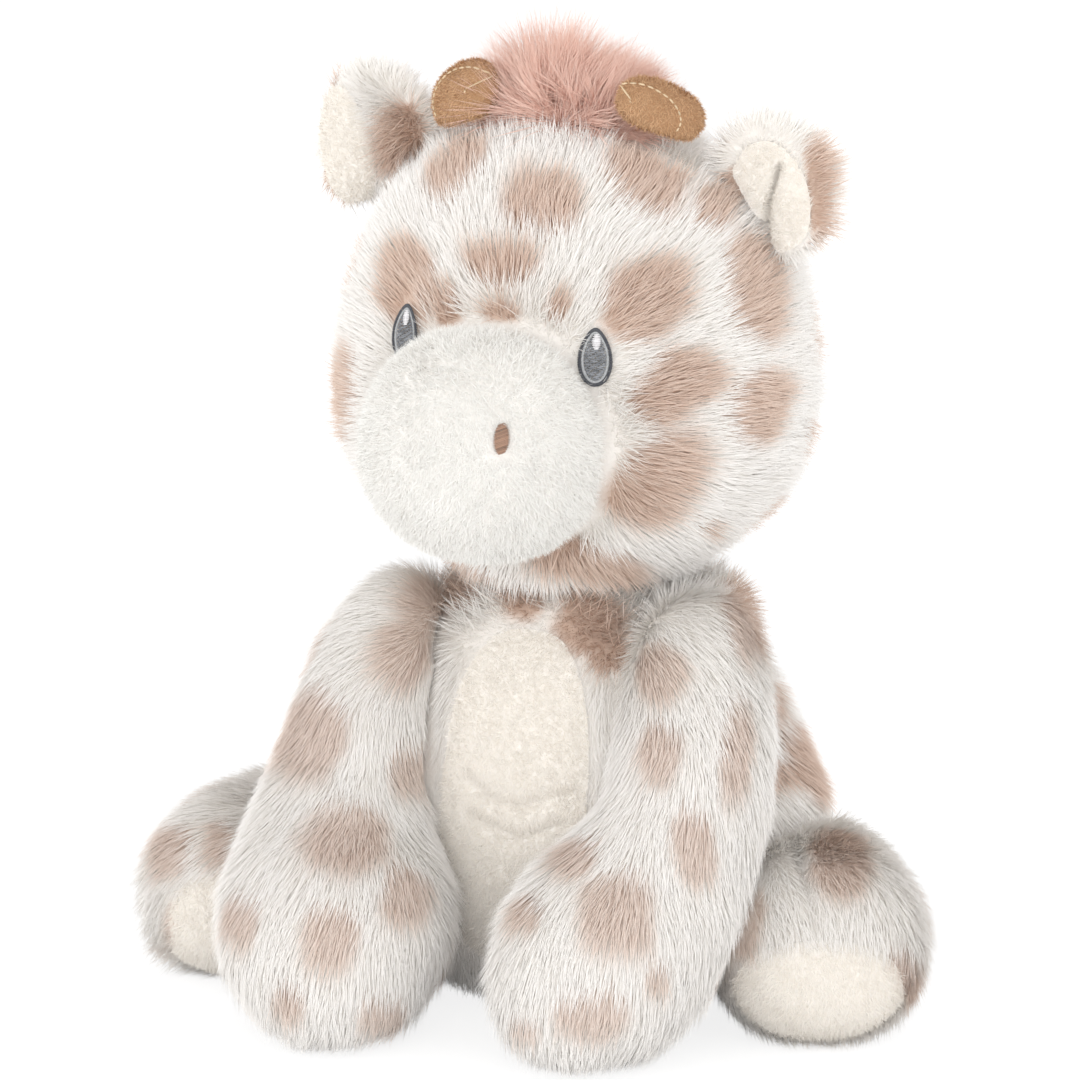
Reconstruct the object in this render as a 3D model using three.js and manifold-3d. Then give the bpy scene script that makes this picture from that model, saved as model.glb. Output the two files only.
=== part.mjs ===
// A seated plush giraffe with a rattle inside: millimetres, +Z up, the toy faces -Y and its left is +X.
// The origin is the middle of the flat under the body, where the toy sits.
import * as THREE from "three";
import { mergeVertices } from "three/addons/utils/BufferGeometryUtils.js";
import Module from "manifold-3d";

const { Vector3 } = THREE;
const wasm = await Module();
wasm.setup();

// Fits and cloth
const GAP = 0.3;
const COVER = 3;
const SEAT_SINK = 0.5;
const THREAD = 0.8;

// Body: half sizes read from the seat up to the shoulders
const BODY_HEIGHT = 106;
const BODY_WIDTHS = [50, 59, 62, 55, 45, 47];
const BODY_DEPTHS = [49, 54, 52, 47, 42, 39];
const BODY_LEAN = [10, 9, 5, 0];
const BODY_ENDS = 4;
const TUMMY_HALF_WIDTH = 19;
const TUMMY_BOTTOM = 14;
const TUMMY_TOP = 98;

// Neck: head and body meet on spheres about one point, so the head turns and nods
const NECK_DROP = 22;
const NECK_HEIGHT = BODY_HEIGHT - NECK_DROP;
const NECK_RADIUS = 32;
const NECK_PAD = 3.6;
const NECK_CLEARANCE = 0.6;
const NECK_PAD_ANGLE = 44;
const NECK_HOLE = 19;
const COLLAR_RADIUS = 31;
const COLLAR_RISE = 26;
const COLLAR_BOTTOM = NECK_HEIGHT + COLLAR_RISE;

// Head: half sizes read from the chin up to the crown; the toy holds it a little turned and tilted
const HEAD_TURN_ANGLE = -1;
const HEAD_TILT_ANGLE = 3.5;
const HEAD_RISE = 26.5;
const HEAD_BOTTOM = NECK_HEIGHT + HEAD_RISE;
const HEAD_HEIGHT = 111;
const HEAD_WIDTHS = [63, 61.5, 59.5, 57, 55, 52];
const HEAD_DEPTHS = [52, 51, 49, 48, 46, 44];
const HEAD_FORWARD = 0;
const HEAD_CORNERS = 2.3;

// Muzzle: half sizes read from its root to the nose
const MUZZLE_RISE = 37.5;
const MUZZLE_HEIGHT = HEAD_BOTTOM + MUZZLE_RISE;
const MUZZLE_REACH = 81;
const MUZZLE_ROOT = 14;
const MUZZLE_WIDTHS = [27, 28.5, 29, 28.5, 27];
const MUZZLE_HEIGHTS = [26, 27.5, 28, 27.5, 26];
const MUZZLE_ENDS = 2.6;

// Face embroidery
const EYE_SPREAD = 25;
const EYE_RISE = 62.5;
const EYE_HEIGHT = HEAD_BOTTOM + EYE_RISE;
const EYE_HALF_WIDTH = 3.9;
const EYE_HALF_HEIGHT = 7.4;
const EYE_BULGE = 1.3;
const EYE_SHOULDER = 0.7;
const GLINT_HALF_WIDTH = 1.1;
const GLINT_HALF_HEIGHT = 1.4;
const GLINT_RISE = 3.6;
const NOSTRIL_SPREAD = 16;
const NOSTRIL_RISE = 7;
const NOSTRIL_HEIGHT = MUZZLE_HEIGHT + NOSTRIL_RISE;
const NOSTRIL_HALF_WIDTH = 2.1;
const NOSTRIL_HALF_HEIGHT = 3.9;

// Ears
const EAR_LENGTH = 26;
const EAR_HALF_WIDTHS = [10.5, 15, 17, 16.5, 12.5];
const EAR_HALF_THICKNESS = 4.5;
const EAR_CUP = 7;
const EAR_ROOT_RADIUS = 4.5;
const EAR_ROOT_LENGTH = 17;
const EAR_SINK = 2;
const EAR_PLACE_ANGLE = 41;
const EAR_RISE_ANGLE = { right: 47, left: 35 };
const EAR_OUTWARD_ANGLE = 18;
const EAR_LINING = 1.6;
const EAR_LINING_MARGIN = 3.5;

// Horns and tuft
const HORN_SPREAD = 25.5;
const HORN_FORWARD = 14;
const HORN_HALF_LENGTH = 11.5;
const HORN_HALF_THICKNESS = 6;
const HORN_HALF_HEIGHT = 12;
const HORN_RISE = 9;
const HORN_SLOPE_ANGLE = 22;
const HORN_SWEEP_ANGLE = 28;
const TUFT_HALF_WIDTH = 23;
const TUFT_HALF_DEPTH = 15;
const TUFT_HEIGHT = 20;
const TUFT_FORWARD = 3;

// Front legs: half sizes read from the shoulder to the paw
const SHOULDER_SPREAD = 38;
const SHOULDER_FORWARD = 6;
const SHOULDER_HEIGHT = 105;
const LEG_TOP_FORWARD = 5;
const LEG_TOP_RISE = 8;
const KNEE_SPREAD = 44;
const KNEE_FORWARD = 42;
const KNEE_HEIGHT = 56;
const FRONT_LEG_WIDTHS = { right: [21, 21, 20, 26, 34, 31], left: [21, 21, 19, 23, 30, 28] };
const FRONT_LEG_DEPTHS = [24, 22, 20, 23, 28, 28];
const PAW_SPREAD = { right: 28, left: 18 };
const PAW_REACH = { right: 86, left: 76 };
const PAW_HEIGHT = 13;
const FRONT_LEG_ENDS = 2.3;

// Hind legs: half sizes read from the hip to the foot
const HIP_SPREAD = 46;
const HIP_BACK = 42;
const LEG_ROOT_INSET = 18;
const LEG_ROOT_HEIGHT = 29;
const HIND_LEG_WIDTHS = [24, 25, 26, 28, 29];
const HIND_LEG_HEIGHTS = [24, 23.5, 23.5, 25, 27];
const THIGH_SPREAD = { right: 74, left: 56 };
const THIGH_BACK = 8;
const THIGH_HEIGHT = 28;
const FOOT_SPREAD = { right: 83, left: 84 };
const FOOT_REACH = { right: 51, left: 41 };
const FOOT_HEIGHT = 27;
const HIND_LEG_ENDS = 2.8;
const SOLE_HALF_WIDTH = 21;
const SOLE_HALF_HEIGHT = 15;
const SOLE_RISE = 18;
const SOLE_WRAP = 18;
const SOLE_TURN_ANGLE = { right: 30, left: 0 };

// Tail
const TAIL_HEIGHT = 34;
const TAIL_LENGTH = 30;
const TAIL_RADIUS = 5;
const TAIL_DROP_ANGLE = 40;
const TAIL_TAPER = 0.8;
const TAIL_TUFT_RADIUS = 9;
const TAIL_TUFT_LENGTH = 20;
const TAIL_TUFT_ROOT = 0.8;
const TAIL_TUFT_TIP = 0.7;
const TAIL_ENDS = 3;

// Rattle: a drum that lies across the belly, with beads that roll round its wall
const RATTLE_HEIGHT = 46;
const RATTLE_BACK = 5;
const RATTLE_RADIUS = 15;
const RATTLE_HALF_LENGTH = 17;
const RATTLE_WALL = 1.8;
const RATTLE_EDGE = 3;
const BEAD_COUNT = 5;
const BEAD_RADIUS = 2.3;

// Roundness of sections and ends: 2 is an ellipse, and more is squarer
const SOFT_CORNERS = 2.2;
const ROUND_CORNERS = 2;
const SOFT_ENDS = 2.4;

// Faceting
const FORM_RINGS = 11;
const FORM_SIDES = 24;
const INNER_RINGS = 8;
const INNER_SIDES = 16;
const SMALL_RINGS = 8;
const SMALL_SIDES = 14;
const ROUND_SIDES = 20;
const BALL_SIDES = 28;
const BEAD_SIDES = 8;

const FAR = 400;
const SIDES = [[-1, "right"], [1, "left"]];
const FORWARD = new Vector3(0, -1, 0);
const UP = new Vector3(0, 0, 1);
const ACROSS = new Vector3(1, 0, 0);
const neckCentre = new Vector3(0, 0, NECK_HEIGHT);

const PLUSH_ROUGHNESS = 0.95;
const VELOUR_ROUGHNESS = 0.85;
const THREAD_ROUGHNESS = 0.6;
const PLASTIC_ROUGHNESS = 0.45;
const WHITE_PLUSH = "#ece8e2";
const MUZZLE_PLUSH = "#f4f2ee";
const CREAM_VELOUR = "#f0e9e0";
const TAN_VELOUR = "#c09471";
const ROSE_PILE = "#d8b1a1";
const FIBRE = "#f6f5f2";
const GREY_THREAD = "#86888b";
const WHITE_THREAD = "#e0dce5";
const BROWN_THREAD = "#b49d91";
const WHITE_PLASTIC = "#f2efe6";
const BEAD_PLASTIC = "#d9c9a8";

function material(color, roughness = PLUSH_ROUGHNESS) {
  return new THREE.MeshStandardMaterial({ color, roughness, metalness: 0 });
}

// Turns shared vertices and triangles into a solid
function solidFrom(vertices, triangles) {
  const mesh = new wasm.Mesh({
    numProp: 3,
    vertProperties: new Float32Array(vertices),
    triVerts: new Uint32Array(triangles),
  });
  return new wasm.Manifold(mesh);
}

// Turns a three.js geometry, placed by a matrix, into a solid
function solidOf(geometry, matrix = new THREE.Matrix4()) {
  const bare = geometry.clone();
  bare.deleteAttribute("normal");
  bare.deleteAttribute("uv");
  const merged = mergeVertices(bare.applyMatrix4(matrix), 1e-4);
  return solidFrom(merged.attributes.position.array, merged.index.array);
}

function ball(centre, radius) {
  const geometry = new THREE.SphereGeometry(radius, BALL_SIDES, BALL_SIDES / 2);
  return solidOf(geometry.rotateX(Math.PI / 2).translate(centre.x, centre.y, centre.z));
}

// A value read off a smooth line through evenly spaced numbers
function readAlong(values, share) {
  const line = new THREE.SplineCurve(values.map((value, index) => new THREE.Vector2(index, value)));
  return line.getPoint(share).y;
}

// A point of the spine, which runs on straight past its ends
function spinePoint(curve, share) {
  const kept = THREE.MathUtils.clamp(share, 0, 1);
  const overrun = (share - kept) * curve.getLength();
  return curve.getPointAt(kept).addScaledVector(curve.getTangentAt(kept), overrun);
}

const signedPower = (value, power) => Math.sign(value) * Math.abs(value) ** power;

// A stuffed form: rounded sections along a bent spine that close to a point at both ends.
// Its half widths lie along `across`, its half depths at right angles to that and the spine.
function stuffedForm({ spine, ...sizes }) {
  const curve = new THREE.CatmullRomCurve3(spine);
  return { across: ACROSS, corner: SOFT_CORNERS, ends: SOFT_ENDS, ...sizes, curve };
}

function formRing(form, share, inset, sides) {
  const length = form.curve.getLength();
  const place = (inset + share * (length - 2 * inset)) / length;
  const centre = spinePoint(form.curve, place);
  const tangent = form.curve.getTangentAt(THREE.MathUtils.clamp(place, 0, 1));
  const wide = form.across.clone().addScaledVector(tangent, -form.across.dot(tangent)).normalize();
  const deep = tangent.clone().cross(wide);
  const rounding = (1 - Math.abs(2 * share - 1) ** form.ends) ** (1 / form.ends);
  const width = (readAlong(form.widths, share) - inset) * rounding;
  const depth = (readAlong(form.depths, share) - inset) * rounding;
  const ring = [];
  for (let side = 0; side < sides; side++) {
    const angle = (2 * Math.PI * side) / sides;
    const point = centre.clone();
    point.addScaledVector(wide, width * signedPower(Math.cos(angle), 2 / form.corner));
    point.addScaledVector(deep, depth * signedPower(Math.sin(angle), 2 / form.corner));
    ring.push(point);
  }
  return ring;
}

// The solid of a stuffed form, drawn in by `inset` all round
function formSolid(form, inset = 0, rings = FORM_RINGS, sides = FORM_SIDES) {
  const points = [spinePoint(form.curve, inset / form.curve.getLength())];
  for (let ring = 1; ring < rings; ring++) {
    points.push(...formRing(form, (1 - Math.cos((Math.PI * ring) / rings)) / 2, inset, sides));
  }
  points.push(spinePoint(form.curve, 1 - inset / form.curve.getLength()));
  const last = points.length - 1;
  const triangles = [];
  for (let side = 0; side < sides; side++) {
    const next = (side + 1) % sides;
    triangles.push(0, 1 + next, 1 + side);
    triangles.push(last, last - sides + side, last - sides + next);
    for (let ring = 0; ring < rings - 2; ring++) {
      const low = 1 + ring * sides;
      const high = low + sides;
      triangles.push(low + side, low + next, high + next, low + side, high + next, high + side);
    }
  }
  const placed = form.bend ? points.map(form.bend) : points;
  return solidFrom(placed.flatMap((point) => point.toArray()), triangles);
}

const innerSolid = (form, inset) => formSolid(form, inset, INNER_RINGS, INNER_SIDES);
const smallSolid = (form, inset) => formSolid(form, inset, SMALL_RINGS, SMALL_SIDES);

// Moves a form so that its underside lies just below the floor, where it is then flattened
function restOnFloor(form) {
  const drop = -SEAT_SINK - formSolid(form).boundingBox().min[2];
  const spine = form.curve.points.map((point) => point.clone().addScaledVector(UP, drop));
  return { ...form, curve: new THREE.CatmullRomCurve3(spine) };
}

const aboveFloor = (solid) => solid.trimByPlane([0, 0, 1], 0);

// A column of an outline that is drawn in X and Z and runs forward from a point
function forwardColumn(shape, from, curveSegments = 10) {
  const geometry = new THREE.ExtrudeGeometry(shape, { depth: FAR, bevelEnabled: false, curveSegments });
  return solidOf(geometry.rotateX(Math.PI / 2).translate(from.x, from.y, from.z));
}

function oval(halfWidth, halfHeight) {
  return new THREE.Shape().absellipse(0, 0, halfWidth, halfHeight, 0, 2 * Math.PI, false);
}

// The largest piece of a cut solid, without the slivers that a cut can leave
function wholePiece(solid) {
  const pieces = solid.decompose();
  return pieces.reduce((best, piece) => (piece.volume() > best.volume() ? piece : best));
}

function mesh(name, solid, color, roughness) {
  const result = wholePiece(solid).getMesh();
  const geometry = new THREE.BufferGeometry();
  geometry.setAttribute("position", new THREE.BufferAttribute(result.vertProperties, 3));
  geometry.setIndex(new THREE.BufferAttribute(result.triVerts, 1));
  geometry.computeVertexNormals();
  const made = new THREE.Mesh(geometry, material(color, roughness));
  made.name = name;
  return made;
}

// Where a straight line out of a solid leaves it
function surfacePoint(solid, from, direction) {
  const result = solid.getMesh();
  const geometry = new THREE.BufferGeometry();
  geometry.setAttribute("position", new THREE.BufferAttribute(result.vertProperties, 3));
  geometry.setIndex(new THREE.BufferAttribute(result.triVerts, 1));
  const target = new THREE.Mesh(geometry, new THREE.MeshBasicMaterial({ side: THREE.DoubleSide }));
  const hits = new THREE.Raycaster(from, direction.clone().normalize()).intersectObject(target);
  return hits[hits.length - 1].point;
}

// Body
const bodyForm = stuffedForm({
  spine: BODY_LEAN.map((back, index) => {
    const share = index / (BODY_LEAN.length - 1);
    return new Vector3(0, back, -SEAT_SINK + share * (BODY_HEIGHT + SEAT_SINK));
  }),
  widths: BODY_WIDTHS,
  depths: BODY_DEPTHS,
  ends: BODY_ENDS,
});
const bodyOuter = (inset) => formSolid(bodyForm, inset).add(ball(neckCentre, NECK_RADIUS - inset));
const bodyInner = (inset) => innerSolid(bodyForm, inset).add(ball(neckCentre, NECK_RADIUS - inset));
const bodySolid = bodyOuter(0);
const bodyCutter = bodyOuter(-GAP);

function neckColumn(radius) {
  const geometry = new THREE.CylinderGeometry(radius, radius, FAR, ROUND_SIDES).rotateX(Math.PI / 2);
  return solidOf(geometry.translate(0, 0, NECK_HEIGHT + FAR / 2));
}

function tummyColumn(inset) {
  const middle = (TUMMY_BOTTOM + TUMMY_TOP) / 2;
  const shape = oval(TUMMY_HALF_WIDTH - inset, (TUMMY_TOP - TUMMY_BOTTOM) / 2 - inset);
  return forwardColumn(shape, new Vector3(0, 0, middle));
}

function bodyPieces() {
  const skin = aboveFloor(bodySolid.subtract(bodyInner(COVER)));
  const cover = skin.subtract(neckColumn(NECK_HOLE)).subtract(tummyColumn(0));
  const patch = skin.intersect(tummyColumn(GAP));
  const neckPlug = ball(neckCentre, NECK_RADIUS).intersect(neckColumn(NECK_HOLE - GAP));
  const stuffing = bodyInner(COVER + GAP).add(neckPlug).subtract(rattlePocket());
  const upper = stuffing.trimByPlane([0, 0, 1], RATTLE_HEIGHT + GAP / 2);
  const lower = stuffing.trimByPlane([0, 0, -1], -RATTLE_HEIGHT + GAP / 2);
  return [
    mesh("body_cover", cover.subtract(tailSocket()), WHITE_PLUSH),
    mesh("tummy_patch", patch, CREAM_VELOUR),
    mesh("body_stuffing_lower", lower, FIBRE),
    mesh("body_stuffing_upper", upper, FIBRE),
  ];
}

// Rattle
function drumHalf(side) {
  const round = [RATTLE_RADIUS - RATTLE_EDGE, RATTLE_HALF_LENGTH - RATTLE_EDGE];
  const shape = new THREE.Path();
  shape.moveTo(0, RATTLE_HALF_LENGTH - RATTLE_WALL);
  shape.lineTo(RATTLE_RADIUS - RATTLE_EDGE, RATTLE_HALF_LENGTH - RATTLE_WALL);
  shape.absarc(...round, RATTLE_EDGE - RATTLE_WALL, Math.PI / 2, 0, true);
  shape.lineTo(RATTLE_RADIUS - RATTLE_WALL, GAP / 2);
  shape.lineTo(RATTLE_RADIUS, GAP / 2);
  shape.absarc(...round, RATTLE_EDGE, 0, Math.PI / 2, false);
  shape.lineTo(0, RATTLE_HALF_LENGTH);
  const geometry = new THREE.LatheGeometry(shape.getPoints(2), ROUND_SIDES);
  geometry.rotateZ((-side * Math.PI) / 2).translate(0, RATTLE_BACK, RATTLE_HEIGHT);
  return solidOf(geometry);
}

function rattlePocket() {
  const radius = RATTLE_RADIUS + GAP;
  const length = 2 * (RATTLE_HALF_LENGTH + GAP);
  const geometry = new THREE.CylinderGeometry(radius, radius, length, ROUND_SIDES).rotateZ(Math.PI / 2);
  return solidOf(geometry.translate(0, RATTLE_BACK, RATTLE_HEIGHT));
}

function rattlePieces() {
  const pitch = (2 * (RATTLE_HALF_LENGTH - RATTLE_WALL)) / BEAD_COUNT;
  const orbit = RATTLE_RADIUS - RATTLE_WALL - GAP - BEAD_RADIUS;
  const beads = Array.from({ length: BEAD_COUNT }, (unused, index) => {
    const across = (index - (BEAD_COUNT - 1) / 2) * pitch;
    const centre = new Vector3(across, RATTLE_BACK, RATTLE_HEIGHT - orbit);
    const bead = solidOf(new THREE.SphereGeometry(BEAD_RADIUS, BEAD_SIDES, BEAD_SIDES / 2));
    return mesh(`rattle_bead_${index + 1}`, bead.translate(centre.toArray()), BEAD_PLASTIC, PLASTIC_ROUGHNESS);
  });
  return [
    mesh("rattle_shell_left", drumHalf(1), WHITE_PLASTIC, PLASTIC_ROUGHNESS),
    mesh("rattle_shell_right", drumHalf(-1), WHITE_PLASTIC, PLASTIC_ROUGHNESS),
    ...beads,
  ];
}

// Neck
function neckPiece() {
  const half = THREE.MathUtils.degToRad(NECK_PAD_ANGLE);
  const inner = NECK_RADIUS + NECK_CLEARANCE;
  const shape = new THREE.Path();
  shape.absarc(0, 0, inner, Math.PI / 2, Math.PI / 2 - half, true);
  shape.absarc(0, 0, inner + NECK_PAD, Math.PI / 2 - half, Math.PI / 2, false);
  const geometry = new THREE.LatheGeometry(shape.getPoints(2), BALL_SIDES);
  geometry.rotateX(Math.PI / 2).translate(0, 0, NECK_HEIGHT);
  return mesh("neck_stuffing", solidOf(geometry), FIBRE);
}

// Head
const headForm = stuffedForm({
  spine: [HEAD_BOTTOM, HEAD_BOTTOM + HEAD_HEIGHT].map((height) => new Vector3(0, -HEAD_FORWARD, height)),
  widths: HEAD_WIDTHS,
  depths: HEAD_DEPTHS,
  corner: HEAD_CORNERS,
});
const headMiddle = new Vector3(0, -HEAD_FORWARD, HEAD_BOTTOM + HEAD_HEIGHT / 2);

function collar(inset) {
  const height = headMiddle.z - COLLAR_BOTTOM - inset;
  const radius = COLLAR_RADIUS - inset;
  const geometry = new THREE.CylinderGeometry(radius, radius, height, ROUND_SIDES).rotateX(Math.PI / 2);
  return solidOf(geometry.translate(0, 0, headMiddle.z - height / 2));
}

// The head is drawn upright and then posed about its middle, so the neck is cut in its own frame
function headPose() {
  const turn = THREE.MathUtils.degToRad(HEAD_TURN_ANGLE);
  const tilt = THREE.MathUtils.degToRad(HEAD_TILT_ANGLE);
  const pose = new THREE.Matrix4().makeRotationFromEuler(new THREE.Euler(0, tilt, turn, "ZYX"));
  const back = new THREE.Matrix4().makeTranslation(headMiddle.clone().negate());
  return pose.multiply(back).premultiply(new THREE.Matrix4().makeTranslation(headMiddle));
}

const intoHead = (solid) => solid.transform(headPose().invert().elements);
const headDish = intoHead(ball(neckCentre, NECK_RADIUS + NECK_PAD + 2 * NECK_CLEARANCE));
const headSolid = formSolid(headForm).add(intoHead(collar(0)));
const headCutter = formSolid(headForm, -GAP).add(intoHead(collar(-GAP)));

// A thin embroidered patch that lies on a form, `lift` above it
function embroidery(form, shape, across, height, lift) {
  const layer = formSolid(form, -lift - THREAD).subtract(formSolid(form, -lift));
  const from = new Vector3(across, form.curve.getPointAt(0.5).y, height);
  return layer.intersect(forwardColumn(shape, from, 6));
}

function eyeShape() {
  const shape = new THREE.Shape();
  shape.moveTo(0, EYE_HALF_HEIGHT);
  const wide = EYE_HALF_WIDTH * EYE_BULGE;
  const shoulder = EYE_HALF_HEIGHT * EYE_SHOULDER;
  shape.bezierCurveTo(wide, shoulder, wide, -EYE_HALF_HEIGHT, 0, -EYE_HALF_HEIGHT);
  shape.bezierCurveTo(-wide, -EYE_HALF_HEIGHT, -wide, shoulder, 0, EYE_HALF_HEIGHT);
  return shape;
}

function facePieces(side, name) {
  const across = side * EYE_SPREAD;
  const eye = embroidery(headForm, eyeShape(), across, EYE_HEIGHT, GAP);
  const glintShape = oval(GLINT_HALF_WIDTH, GLINT_HALF_HEIGHT);
  const glint = embroidery(headForm, glintShape, across, EYE_HEIGHT + GLINT_RISE, 2 * GAP + THREAD);
  const nostrilShape = oval(NOSTRIL_HALF_WIDTH, NOSTRIL_HALF_HEIGHT);
  const nostril = embroidery(muzzleForm, nostrilShape, side * NOSTRIL_SPREAD, NOSTRIL_HEIGHT, GAP);
  return [
    mesh(`${name}_eye`, eye, GREY_THREAD, THREAD_ROUGHNESS),
    mesh(`${name}_eye_glint`, glint, WHITE_THREAD, THREAD_ROUGHNESS),
    mesh(`${name}_nostril`, nostril, BROWN_THREAD, THREAD_ROUGHNESS),
  ];
}

function headPieces() {
  const inside = (inset) => innerSolid(headForm, inset).add(intoHead(collar(inset)));
  let cover = headSolid.subtract(inside(COVER)).subtract(headDish);
  for (const [side, name] of SIDES) {
    cover = cover.subtract(solidOf(earRootShape(GAP), earFrame(side, name)));
  }
  const stuffing = inside(COVER + GAP).subtract(headDish);
  return [mesh("head_cover", cover, WHITE_PLUSH), mesh("head_stuffing", stuffing, FIBRE)];
}

// Muzzle
const muzzleForm = stuffedForm({
  spine: [new Vector3(0, -MUZZLE_ROOT, MUZZLE_HEIGHT), new Vector3(0, -MUZZLE_REACH, MUZZLE_HEIGHT)],
  widths: MUZZLE_WIDTHS,
  depths: MUZZLE_HEIGHTS,
  ends: MUZZLE_ENDS,
});

function muzzlePieces() {
  const cover = formSolid(muzzleForm).subtract(innerSolid(muzzleForm, COVER)).subtract(headCutter);
  const stuffing = innerSolid(muzzleForm, COVER + GAP).subtract(headCutter);
  return [mesh("muzzle_cover", cover, MUZZLE_PLUSH), mesh("muzzle_stuffing", stuffing, FIBRE)];
}

// Ears: each stands on a round root that beds in the head and lets the ear flop
function earFrame(side, name) {
  const rise = THREE.MathUtils.degToRad(EAR_RISE_ANGLE[name]);
  const outward = THREE.MathUtils.degToRad(EAR_OUTWARD_ANGLE);
  const place = THREE.MathUtils.degToRad(EAR_PLACE_ANGLE);
  const along = new Vector3(side * Math.cos(rise), 0, Math.sin(rise));
  const outFrom = new Vector3(side * Math.cos(place), 0, Math.sin(place));
  const front = new Vector3(side * Math.sin(outward), -Math.cos(outward), 0);
  front.addScaledVector(along, -front.dot(along)).normalize();
  const across = front.clone().cross(along);
  const skin = surfacePoint(headSolid, headMiddle, outFrom);
  const origin = skin.addScaledVector(along, EAR_ROOT_RADIUS - EAR_SINK);
  const matrix = new THREE.Matrix4().makeBasis(across.negate(), front.negate(), along);
  return matrix.setPosition(origin);
}

function earRootShape(extra) {
  return new THREE.CapsuleGeometry(EAR_ROOT_RADIUS + extra, EAR_ROOT_LENGTH, 3, 12).rotateZ(Math.PI / 2);
}

const earCup = (point) => {
  const reach = point.x / EAR_HALF_WIDTHS[2];
  return new Vector3(point.x, point.y - EAR_CUP * reach * reach, point.z);
};

function earLeaf(bottom, top, margin, thickness, forward) {
  return stuffedForm({
    spine: [new Vector3(0, -forward, bottom), new Vector3(0, -forward, top)],
    widths: EAR_HALF_WIDTHS.map((width) => width - margin),
    depths: [thickness, thickness],
    bend: earCup,
  });
}

function earGroup(side, name) {
  const bottom = -EAR_HALF_WIDTHS[0];
  const leaf = smallSolid(earLeaf(bottom, EAR_LENGTH, 0, EAR_HALF_THICKNESS, 0), 0);
  const back = leaf.trimByPlane([0, 0, 1], 0).add(solidOf(earRootShape(0)));
  const forward = EAR_HALF_THICKNESS + GAP + EAR_LINING / 2;
  const margin = EAR_LINING_MARGIN;
  const liningForm = earLeaf(bottom + margin, EAR_LENGTH - margin, margin, EAR_LINING / 2, forward);
  const lining = smallSolid(liningForm, 0);
  const group = new THREE.Group();
  group.name = `${name}_ear`;
  group.applyMatrix4(earFrame(side, name));
  group.add(
    mesh(`${name}_ear_back`, back, WHITE_PLUSH),
    mesh(`${name}_ear_lining`, lining.trimByPlane([0, 0, 1], EAR_ROOT_RADIUS), CREAM_VELOUR),
  );
  return group;
}

// Horns and tuft
function hornSolid(side, extra) {
  const base = surfacePoint(headSolid, new Vector3(side * HORN_SPREAD, -HORN_FORWARD, headMiddle.z), UP);
  const slope = THREE.MathUtils.degToRad(HORN_SLOPE_ANGLE);
  const sweep = THREE.MathUtils.degToRad(HORN_SWEEP_ANGLE);
  const outward = new Vector3(side * Math.cos(sweep), Math.sin(sweep), -Math.tan(slope)).normalize();
  const middle = base.addScaledVector(UP, HORN_RISE);
  const end = (way) => middle.clone().addScaledVector(outward, way * HORN_HALF_LENGTH);
  const form = stuffedForm({
    spine: [end(-1), end(1)],
    across: UP,
    widths: [HORN_HALF_HEIGHT, HORN_HALF_HEIGHT],
    depths: [HORN_HALF_THICKNESS, HORN_HALF_THICKNESS],
  });
  return formSolid(form, -extra, SMALL_RINGS, SMALL_SIDES);
}

function crownPieces() {
  const top = surfacePoint(headSolid, new Vector3(0, -TUFT_FORWARD, headMiddle.z), UP);
  const form = stuffedForm({
    spine: [-TUFT_HEIGHT, TUFT_HEIGHT].map((rise) => new Vector3(0, -TUFT_FORWARD, top.z + rise)),
    widths: [TUFT_HALF_WIDTH, TUFT_HALF_WIDTH],
    depths: [TUFT_HALF_DEPTH, TUFT_HALF_DEPTH],
  });
  const horns = hornSolid(-1, GAP).add(hornSolid(1, GAP));
  const tuft = innerSolid(form, 0).subtract(headCutter).subtract(horns);
  return [
    mesh("right_horn", hornSolid(-1, 0).subtract(headCutter), TAN_VELOUR, VELOUR_ROUGHNESS),
    mesh("left_horn", hornSolid(1, 0).subtract(headCutter), TAN_VELOUR, VELOUR_ROUGHNESS),
    mesh("crown_tuft", tuft, ROSE_PILE),
  ];
}

// Legs
function shoulderPoint(side) {
  return new Vector3(side * SHOULDER_SPREAD, -SHOULDER_FORWARD, SHOULDER_HEIGHT);
}

function hipPoint(side) {
  return new Vector3(side * HIP_SPREAD, HIP_BACK, 0);
}

function frontLegForm(side, name) {
  const start = shoulderPoint(side).add(new Vector3(0, -LEG_TOP_FORWARD, LEG_TOP_RISE));
  const knee = new Vector3(side * KNEE_SPREAD, -KNEE_FORWARD, KNEE_HEIGHT);
  const end = new Vector3(side * PAW_SPREAD[name], -PAW_REACH[name], PAW_HEIGHT);
  return restOnFloor(stuffedForm({
    spine: [start, knee, end],
    widths: FRONT_LEG_WIDTHS[name],
    depths: FRONT_LEG_DEPTHS,
    ends: FRONT_LEG_ENDS,
  }));
}

function hindLegForm(side, name) {
  const inset = new Vector3(side * LEG_ROOT_INSET, LEG_ROOT_INSET, -LEG_ROOT_HEIGHT);
  const root = hipPoint(side).sub(inset);
  const thigh = new Vector3(side * THIGH_SPREAD[name], THIGH_BACK, THIGH_HEIGHT);
  const foot = new Vector3(side * FOOT_SPREAD[name], -FOOT_REACH[name], FOOT_HEIGHT);
  return restOnFloor(stuffedForm({
    spine: [root, thigh, foot],
    across: UP,
    widths: HIND_LEG_HEIGHTS,
    depths: HIND_LEG_WIDTHS,
    ends: HIND_LEG_ENDS,
  }));
}

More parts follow.
